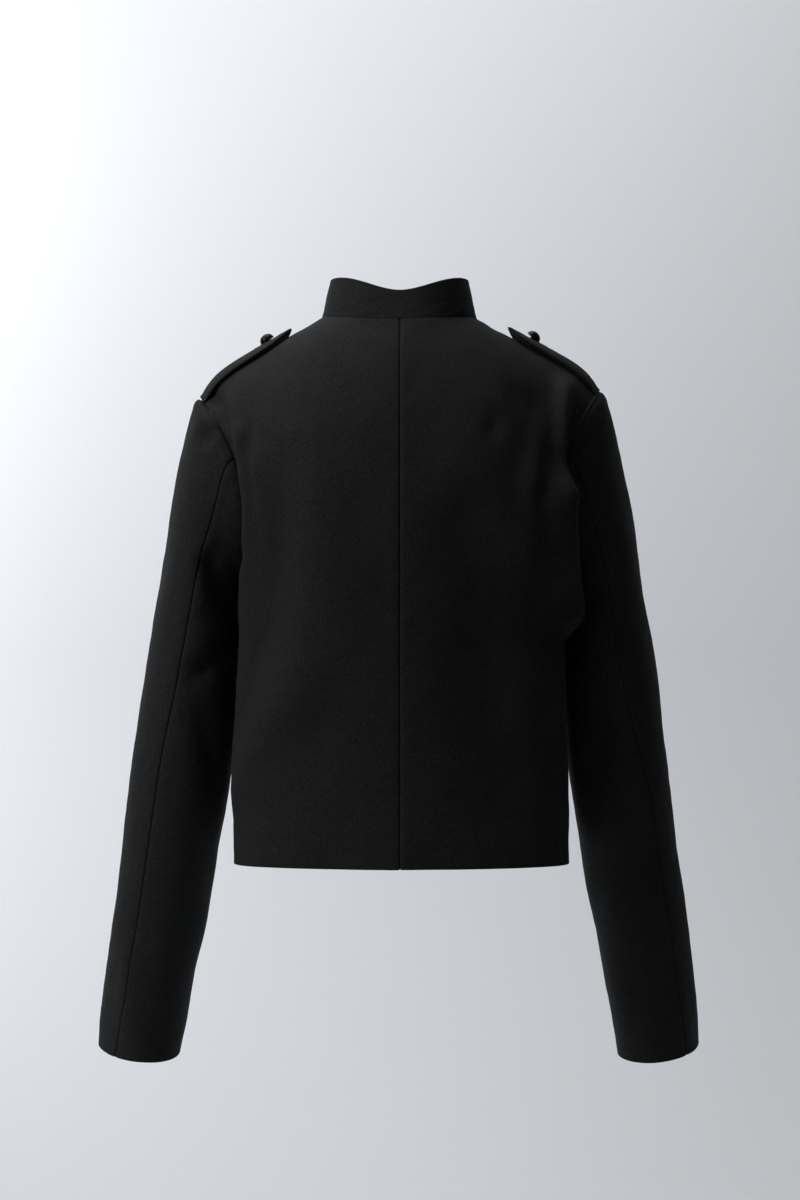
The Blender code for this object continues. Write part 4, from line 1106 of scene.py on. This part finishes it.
def cut_size(points):
    """Width, length and area of a piece's flat cut."""
    far = edge_distances(points)
    _, areas = grid_faces([points], [False])
    area = float(np.linalg.norm(areas, axis=1).sum())
    width, length = float(far["first"].max()), float(far["low"].max())
    return (width, max(length, area / width * 1.0005)), area


def declare(made, piece):
    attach(made, "root")
    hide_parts(piece["name"])
    flat, area = cut_size(piece["points"])


def node(tree, kind, **inputs):
    """A shader node with its inputs set, or linked where the value is another node's output."""
    made = tree.nodes.new(kind)
    for name, value in inputs.items():
        socket = made.inputs[name.replace("_", " ")]
        if isinstance(value, bpy.types.NodeSocket):
            tree.links.new(value, socket)
        else:
            socket.default_value = value
    return made


def ramp(tree, factor, stops):
    """A colour ramp of grey levels: (place, level) from low to high."""
    made = tree.nodes.new("ShaderNodeValToRGB")
    tree.links.new(factor, made.inputs["Fac"])
    elements = made.color_ramp.elements
    while len(elements) < len(stops):
        elements.new(0.5)
    for element, (place, colour) in zip(elements, stops):
        element.position = place
        element.color = (*colour, 1.0)
    return made.outputs["Color"]


def twill():
    """Black wool-like twill: fine diagonal ribs, a speckle of lighter fibres, a short nap and a soft sheen."""
    made = bpy.data.materials.new("black_twill")
    made.use_nodes = True
    tree = made.node_tree
    surface = tree.nodes["Principled BSDF"]
    cut = tree.nodes.new("ShaderNodeUVMap")
    cut.uv_map = "cut"
    where = tree.nodes.new("ShaderNodeTexCoord").outputs["Object"]
    turned = node(tree, "ShaderNodeMapping", Vector=cut.outputs["UV"], Rotation=(0.0, 0.0, TWILL_ANGLE))
    ribs = node(tree, "ShaderNodeTexWave", Vector=turned.outputs["Vector"], Scale=TWILL_SCALE, Distortion=0.6)
    ribs.inputs["Detail"].default_value = 1.0
    speckle = node(tree, "ShaderNodeTexNoise", Vector=where, Scale=SPECKLE_SCALE, Detail=3.0, Roughness=0.7)
    patches = node(tree, "ShaderNodeTexNoise", Vector=where, Scale=PATCH_SCALE, Detail=2.0, Roughness=0.5)
    fibres = node(tree, "ShaderNodeTexNoise", Vector=where, Scale=FIBRE_SCALE, Detail=2.0, Roughness=0.6)
    grain = ramp(tree, speckle.outputs["Fac"], ((0.30, CLOTH_DARK), (0.52, CLOTH_MIDDLE), (0.74, CLOTH_LIGHT)))
    shade = ramp(tree, patches.outputs["Fac"], ((0.30, (0.86,) * 3), (0.70, (1.0,) * 3)))
    colour = tree.nodes.new("ShaderNodeMix")
    colour.data_type = "RGBA"
    colour.blend_type = "MULTIPLY"
    colour.inputs["Factor"].default_value = 1.0
    tree.links.new(grain, colour.inputs["A"])
    tree.links.new(shade, colour.inputs["B"])
    tree.links.new(colour.outputs["Result"], surface.inputs["Base Color"])
    rough = node(tree, "ShaderNodeMapRange", Value=fibres.outputs["Fac"])
    rough.inputs["To Min"].default_value = 0.72
    rough.inputs["To Max"].default_value = 0.95
    tree.links.new(rough.outputs["Result"], surface.inputs["Roughness"])
    surface.inputs["Specular IOR Level"].default_value = 0.20
    surface.inputs["Sheen Weight"].default_value = CLOTH_SHEEN
    surface.inputs["Sheen Roughness"].default_value = 0.45
    surface.inputs["Sheen Tint"].default_value = (0.80, 0.88, 1.0, 1.0)
    weave = node(tree, "ShaderNodeBump", Height=ribs.outputs["Fac"], Strength=0.35, Distance=0.00018)
    nap = node(tree, "ShaderNodeBump", Height=speckle.outputs["Fac"], Strength=0.5, Distance=0.00030)
    tree.links.new(weave.outputs["Normal"], nap.inputs["Normal"])
    tree.links.new(nap.outputs["Normal"], surface.inputs["Normal"])
    return made


def polished():
    """Polished black button: a glossy surface with faint swirls from moulding and small scuffs."""
    made = bpy.data.materials.new("button_polished")
    made.use_nodes = True
    tree = made.node_tree
    surface = tree.nodes["Principled BSDF"]
    where = tree.nodes.new("ShaderNodeTexCoord").outputs["Object"]
    swirl = node(tree, "ShaderNodeTexNoise", Vector=where, Scale=260.0, Detail=3.0, Distortion=1.5)
    scuffs = node(tree, "ShaderNodeTexNoise", Vector=where, Scale=1900.0, Detail=4.0, Roughness=0.75)
    colour = ramp(tree, swirl.outputs["Fac"], ((0.35, (0.005, 0.005, 0.006)), (0.70, (0.012, 0.012, 0.013))))
    tree.links.new(colour, surface.inputs["Base Color"])
    rough = node(tree, "ShaderNodeMapRange", Value=scuffs.outputs["Fac"])
    rough.inputs["From Min"].default_value = 0.35
    rough.inputs["From Max"].default_value = 0.80
    rough.inputs["To Min"].default_value = 0.16
    rough.inputs["To Max"].default_value = 0.34
    tree.links.new(rough.outputs["Result"], surface.inputs["Roughness"])
    surface.inputs["Specular IOR Level"].default_value = 0.12
    bump = node(tree, "ShaderNodeBump", Height=swirl.outputs["Fac"], Strength=0.12, Distance=0.0002)
    tree.links.new(bump.outputs["Normal"], surface.inputs["Normal"])
    return made


def thread():
    """Twisted black sewing thread with a slight shine."""
    made = bpy.data.materials.new("thread_black")
    made.use_nodes = True
    tree = made.node_tree
    surface = tree.nodes["Principled BSDF"]
    where = tree.nodes.new("ShaderNodeTexCoord").outputs["Object"]
    twist = node(tree, "ShaderNodeTexWave", Vector=where, Scale=900.0, Distortion=2.0)
    colour = ramp(tree, twist.outputs["Fac"], ((0.20, (0.010, 0.010, 0.011)), (0.90, (0.030, 0.030, 0.032))))
    tree.links.new(colour, surface.inputs["Base Color"])
    surface.inputs["Roughness"].default_value = 0.45
    surface.inputs["Sheen Weight"].default_value = 0.2
    bump = node(tree, "ShaderNodeBump", Height=twist.outputs["Fac"], Strength=0.4, Distance=0.0001)
    tree.links.new(bump.outputs["Normal"], surface.inputs["Normal"])
    return made


def strap_piece(side):
    """A strap's wall: two layers turned at their edges, with a stitched groove inside them."""
    points, lift, thick = strap_grid(side)
    flip = side < 0
    normals = shared_normals([points], [flip])[0][0]
    lower = softened(points + normals * lift[:, None, None], np.ones((len(lift), 1, 1)), STRAP_SOFT_TIMES)
    far = edge_distances(points)
    edge = np.minimum(np.minimum(far["first"], far["last"]), far["high"])
    relief = STRAP_CROWN * ease(edge / 0.004) - STITCH_GROOVE * np.exp(-(((edge - STITCH_INSET) / 0.0012) ** 2))
    upper = lower + normals * (thick[:, None] + relief)[:, :, None]
    return {
        "name": f"strap_{'left' if side == LEFT else 'right'}", "points": points, "flip": flip, "outer": upper,
        "inner": lower, "away": -inwards(points), "seams": ("low",), "slot": "strap_cloth", "normals": normals,
    }


def stitch_path(piece, inset):
    """A path round a strap's free edges, a fixed way in from them, as points and normals."""
    outer, normals = piece["outer"], piece["normals"]
    far = edge_distances(piece["points"])
    path, ways = [], []
    rows, columns = outer.shape[:2]
    last_row = int(np.searchsorted(-far["high"][:, columns // 2], -inset))
    for i in range(2, last_row):
        k = int(np.searchsorted(far["first"][i], inset))
        path.append(outer[i, k])
        ways.append(normals[i, k])
    end = far["first"][last_row]
    for k in range(int(np.searchsorted(end, inset)), int(np.searchsorted(end, end[-1] - inset)) + 1):
        path.append(outer[last_row, k])
        ways.append(normals[last_row, k])
    for i in range(last_row - 1, 1, -1):
        k = int(np.searchsorted(far["first"][i], far["first"][i, -1] - inset))
        path.append(outer[i, k])
        ways.append(normals[i, k])
    return np.array(path), np.array(ways)


def stitches(name, path, ways, length, gap, radius, material):
    """A row of short raised stitches along a path, as one mesh."""
    steps = np.linalg.norm(np.diff(path, axis=0), axis=1)
    at = np.concatenate([[0.0], np.cumsum(steps)])
    starts = np.arange(gap, at[-1] - length - gap, length + gap)
    points, faces = [], []
    for start in starts:
        ends = [np.array([np.interp(s, at, path[:, k]) for k in range(3)]) for s in (start, start + length)]
        way = unit(np.array([np.interp(start, at, ways[:, k]) for k in range(3)]))
        along = unit(ends[1] - ends[0])
        aside = np.cross(way, along)
        first = len(points)
        for share, size in STITCH_SHAPE:
            middle = ends[0] + (ends[1] - ends[0]) * share + way * radius * (size - 0.6)
            for k in range(6):
                turn = math.pi / 3 * k
                points.append(middle + radius * size * (math.cos(turn) * aside + math.sin(turn) * way))
        rings = len(STITCH_SHAPE)
        for ring in range(rings - 1):
            for k in range(6):
                a, b = first + ring * 6 + k, first + ring * 6 + (k + 1) % 6
                faces.append((a, b, b + 6, a + 6))
        faces.append(tuple(first + k for k in reversed(range(6))))
        faces.append(tuple(first + (rings - 1) * 6 + k for k in range(6)))
    mesh = bpy.data.meshes.new(name)
    mesh.from_pydata(np.array(points).tolist(), [], faces)
    mesh.materials.append(material)
    mesh.shade_smooth()
    made = bpy.data.objects.new(name, mesh)
    bpy.context.scene.collection.objects.link(made)
    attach(made, "root")
    return made


def buttonhole(name, middle, along, way, material):
    """The stitched lips of a buttonhole: close short threads laid across a narrow loop."""
    side = unit(np.cross(way, along))
    path, ways = [], []
    turns = 64
    for k in range(turns + 1):
        turn = 2 * math.pi * k / turns
        out = HOLE_LENGTH / 2 * np.sign(math.cos(turn)) * abs(math.cos(turn)) ** 0.4
        path.append(middle + along * out + side * HOLE_WIDTH / 2 * math.sin(turn))
        ways.append(way)
    return stitches(name, np.array(path), np.array(ways), 0.00055, 0.00012, 0.00042, material)


def lathe(name, profile, foot, axis, material):
    """A turned solid from its profile, standing on foot along axis."""
    axis = unit(axis)
    side = unit(np.cross((1.0, 0.0, 0.0) if abs(axis[1]) > abs(axis[0]) else (0.0, 1.0, 0.0), axis))
    other = np.cross(axis, side)
    points = [foot + axis * profile[0][1]]
    inner = profile[1:-1]
    for radius, height in inner:
        for k in range(BUTTON_STEPS):
            turn = 2 * math.pi * k / BUTTON_STEPS
            points.append(foot + axis * height + radius * (math.cos(turn) * side + math.sin(turn) * other))
    points.append(foot + axis * profile[-1][1])
    faces = []
    for k in range(BUTTON_STEPS):
        after = (k + 1) % BUTTON_STEPS
        faces.append((0, 1 + k, 1 + after))
        for ring in range(len(inner) - 1):
            a, b = 1 + ring * BUTTON_STEPS + k, 1 + ring * BUTTON_STEPS + after
            faces.append((a, a + BUTTON_STEPS, b + BUTTON_STEPS, b))
        last = 1 + (len(inner) - 1) * BUTTON_STEPS
        faces.append((last + k, len(points) - 1, last + after))
    mesh = bpy.data.meshes.new(name)
    mesh.from_pydata(np.array(points).tolist(), [], faces)
    mesh.materials.append(material)
    mesh.shade_smooth()
    mesh.set_sharp_from_angle(angle=math.radians(SHARP_EDGE))
    made = bpy.data.objects.new(name, mesh)
    bpy.context.scene.collection.objects.link(made)
    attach(made, "root")
    return made


def button_profile():
    """From the top of the dome down its outer side, over a thin turned rim, to the foot of the shank."""
    edge = SHANK_HEIGHT + RIM_HEIGHT
    profile = []
    for k in range(DOME_POINTS + 1):
        turn = math.pi / 2 * k / DOME_POINTS
        profile.append((DOME_RADIUS * math.sin(turn), edge + (BUTTON_HEIGHT - edge) * math.cos(turn)))
    profile += [(0.962 * BUTTON_RADIUS, edge - 0.00012), (0.985 * BUTTON_RADIUS, edge)]
    profile += [(BUTTON_RADIUS, edge - 0.2 * RIM_HEIGHT), (BUTTON_RADIUS, edge - 0.6 * RIM_HEIGHT)]
    profile += [(BUTTON_FOOT_RADIUS, SHANK_HEIGHT), (SHANK_RADIUS, SHANK_HEIGHT * 0.9)]
    profile += [(SHANK_RADIUS, 0.0), (0.0, 0.0)]
    return profile


def placed_button(name, axis, material):
    """A finer button in place of the solid one, on the middle of its box."""
    low, high = (np.array(corner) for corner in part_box(name))
    foot = (low + high) / 2 - unit(axis) * BUTTON_HEIGHT / 2
    made = lathe(f"{name}_turned", button_profile(), foot, axis, material)
    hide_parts(name)
    return foot


def nearest_point(grid, point):
    """The row and column of the grid's point nearest to a point."""
    flat = np.linalg.norm(grid - point, axis=2).argmin()
    return np.unravel_index(flat, grid.shape[:2])


def dress_straps(cloth, shiny, sewn):
    for side, word in ((LEFT, "left"), (RIGHT, "right")):
        piece = strap_piece(side)
        made = wall_piece(piece, cloth, TWO_LAYER_EDGE)
        path, ways = stitch_path(piece, STITCH_INSET)
        row = stitches(f"strap_{word}_stitches", path, ways, 0.0026, 0.0009, 0.00028, sewn)
        low, high = (np.array(corner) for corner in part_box(f"strap_button_{word}"))
        i, k = nearest_point(piece["outer"], (low + high) / 2)
        along = unit(piece["outer"][i - 3, k] - piece["outer"][i + 3, k])
        away = unit(np.cross(along, (0.0, 1.0, 0.0)) * side)
        tilt = math.radians(STRAP_BUTTON_TILT[side])
        placed_button(f"strap_button_{word}", away * math.cos(tilt) + along * math.sin(tilt), shiny)
        middle = piece["outer"][i, piece["outer"].shape[1] // 2] + along * HOLE_LENGTH * 0.28
        hole = buttonhole(f"strap_{word}_buttonhole", middle, along, away, sewn)
        declare(made, piece)


def dress_front(pieces, shiny, sewn):
    """Buttons down the middle of the lapping front, each in a buttonhole that runs towards the wearer's side."""
    outer = next(piece["outer"] for piece in pieces if piece["name"] == "front_right")
    sewing = []
    for k in range(FRONT_BUTTONS):
        low, high = (np.array(corner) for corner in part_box(f"front_button_{k + 1}"))
        i, j = nearest_point(outer, (low + high) / 2)
        up = unit(outer[i + 2, j] - outer[i - 2, j])
        across = unit(outer[i, j + 3] - outer[i, j])
        placed_button(f"front_button_{k + 1}", np.cross((1.0, 0.0, 0.0), up), shiny)
        way = unit(np.cross(across, up) * (1 if np.cross(across, up)[1] < 0 else -1))
        middle = outer[i, j] + across * HOLE_LENGTH * 0.32
        sewing.append(buttonhole(f"front_buttonhole_{k + 1}", middle, across, way, sewn))
    return sewing


def dress_jacket():
    cloth, shiny, sewn = twill(), polished(), thread()
    pieces = cut_pieces()
    finish_walls(pieces)
    sewing = dress_front(pieces, shiny, sewn)
    for piece in pieces:
        made = wall_piece(piece, cloth)
        name = piece["name"]
        if name.startswith("sleeve"):
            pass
        elif name == "collar":
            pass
        else:
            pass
        declare(made, piece)
    dress_straps(cloth, shiny, sewn)


def plain(name, colour, roughness):
    """A painted studio surface with the faintest unevenness."""
    made = bpy.data.materials.new(name)
    made.use_nodes = True
    tree = made.node_tree
    surface = tree.nodes["Principled BSDF"]
    where = tree.nodes.new("ShaderNodeTexCoord").outputs["Object"]
    cloudy = node(tree, "ShaderNodeTexNoise", Vector=where, Scale=0.9, Detail=2.0)
    darker = tuple(0.97 * part for part in colour)
    tint = ramp(tree, cloudy.outputs["Fac"], ((0.3, darker), (0.7, colour)))
    tree.links.new(tint, surface.inputs["Base Color"])
    surface.inputs["Roughness"].default_value = roughness
    surface.inputs["Specular IOR Level"].default_value = 0.1
    return made


def studio():
    """A pale floor that sweeps up into the wall behind, seen past the jacket's front."""
    profile = [(STAGE_NEAR, FLOOR_Z), (STAGE_WALL + STAGE_SWEEP, FLOOR_Z)]
    for k in range(1, 25):
        turn = math.pi / 2 * k / 24
        profile.append(
            (STAGE_WALL + STAGE_SWEEP * (1 - math.sin(turn)), FLOOR_Z + STAGE_SWEEP * (1 - math.cos(turn)))
        )
    profile.append((STAGE_WALL, STAGE_TOP))
    points = [(x, y, z) for y, z in profile for x in (-STAGE_HALF, STAGE_HALF)]
    faces = [(2 * k, 2 * k + 1, 2 * k + 3, 2 * k + 2) for k in range(len(profile) - 1)]
    mesh = bpy.data.meshes.new("studio_sweep")
    mesh.from_pydata(points, [], faces)
    mesh.materials.append(plain("pale_paper", STAGE_COLOUR, 0.95))
    mesh.shade_smooth()
    made = bpy.data.objects.new("studio_sweep", mesh)
    bpy.context.scene.collection.objects.link(made)


def softbox(name, place, target, size, power, spread=math.pi):
    light = bpy.data.lights.new(name, "AREA")
    light.shape = "RECTANGLE"
    light.size, light.size_y = size
    light.energy = power
    light.spread = spread
    made = bpy.data.objects.new(name, light)
    bpy.context.scene.collection.objects.link(made)
    made.location = place
    made.rotation_mode = "QUATERNION"
    made.rotation_quaternion = (Vector(target) - Vector(place)).to_track_quat("-Z", "Y")


def light_studio():
    world = bpy.data.worlds.new("studio_air")
    world.use_nodes = True
    background = world.node_tree.nodes["Background"]
    background.inputs["Color"].default_value = (0.92, 0.95, 1.0, 1.0)
    background.inputs["Strength"].default_value = WORLD_LIGHT
    bpy.context.scene.world = world
    softbox("key_left", (2.4, 1.2, 1.3), (0.0, 0.0, -0.2), (1.2, 1.6), KEY_POWER)
    softbox("top_soft", (0.5, 0.6, 2.1), (0.0, 0.0, -0.2), (1.6, 1.2), TOP_POWER)
    softbox("wall_top", (0.6, -0.5, 1.7), (0.3, -1.6, 0.1), (2.2, 0.5), WALL_POWER)
    softbox("wall_side", (1.1, -1.25, 0.0), (0.45, -1.6, -0.2), (0.3, 1.4), SIDE_POWER, SIDE_SPREAD)
    softbox("right_fill", (-2.4, 1.2, 0.8), (0.0, 0.0, -0.3), (1.2, 1.6), FILL_POWER)


def photo_camera():
    camera = bpy.data.cameras.new("photo_camera")
    camera.sensor_width = 36.0
    camera.lens = 36.0 * CAMERA_DISTANCE / VIEW_HEIGHT
    made = bpy.data.objects.new("photo_camera", camera)
    bpy.context.scene.collection.objects.link(made)
    made.location = (0.0, CAMERA_DISTANCE, CAMERA_Z)
    made.rotation_euler = (math.pi / 2, 0.0, math.pi)
    bpy.context.scene.camera = made


dress_jacket()
studio()
light_studio()
photo_camera()
bpy.context.scene.view_settings.view_transform = "Standard"
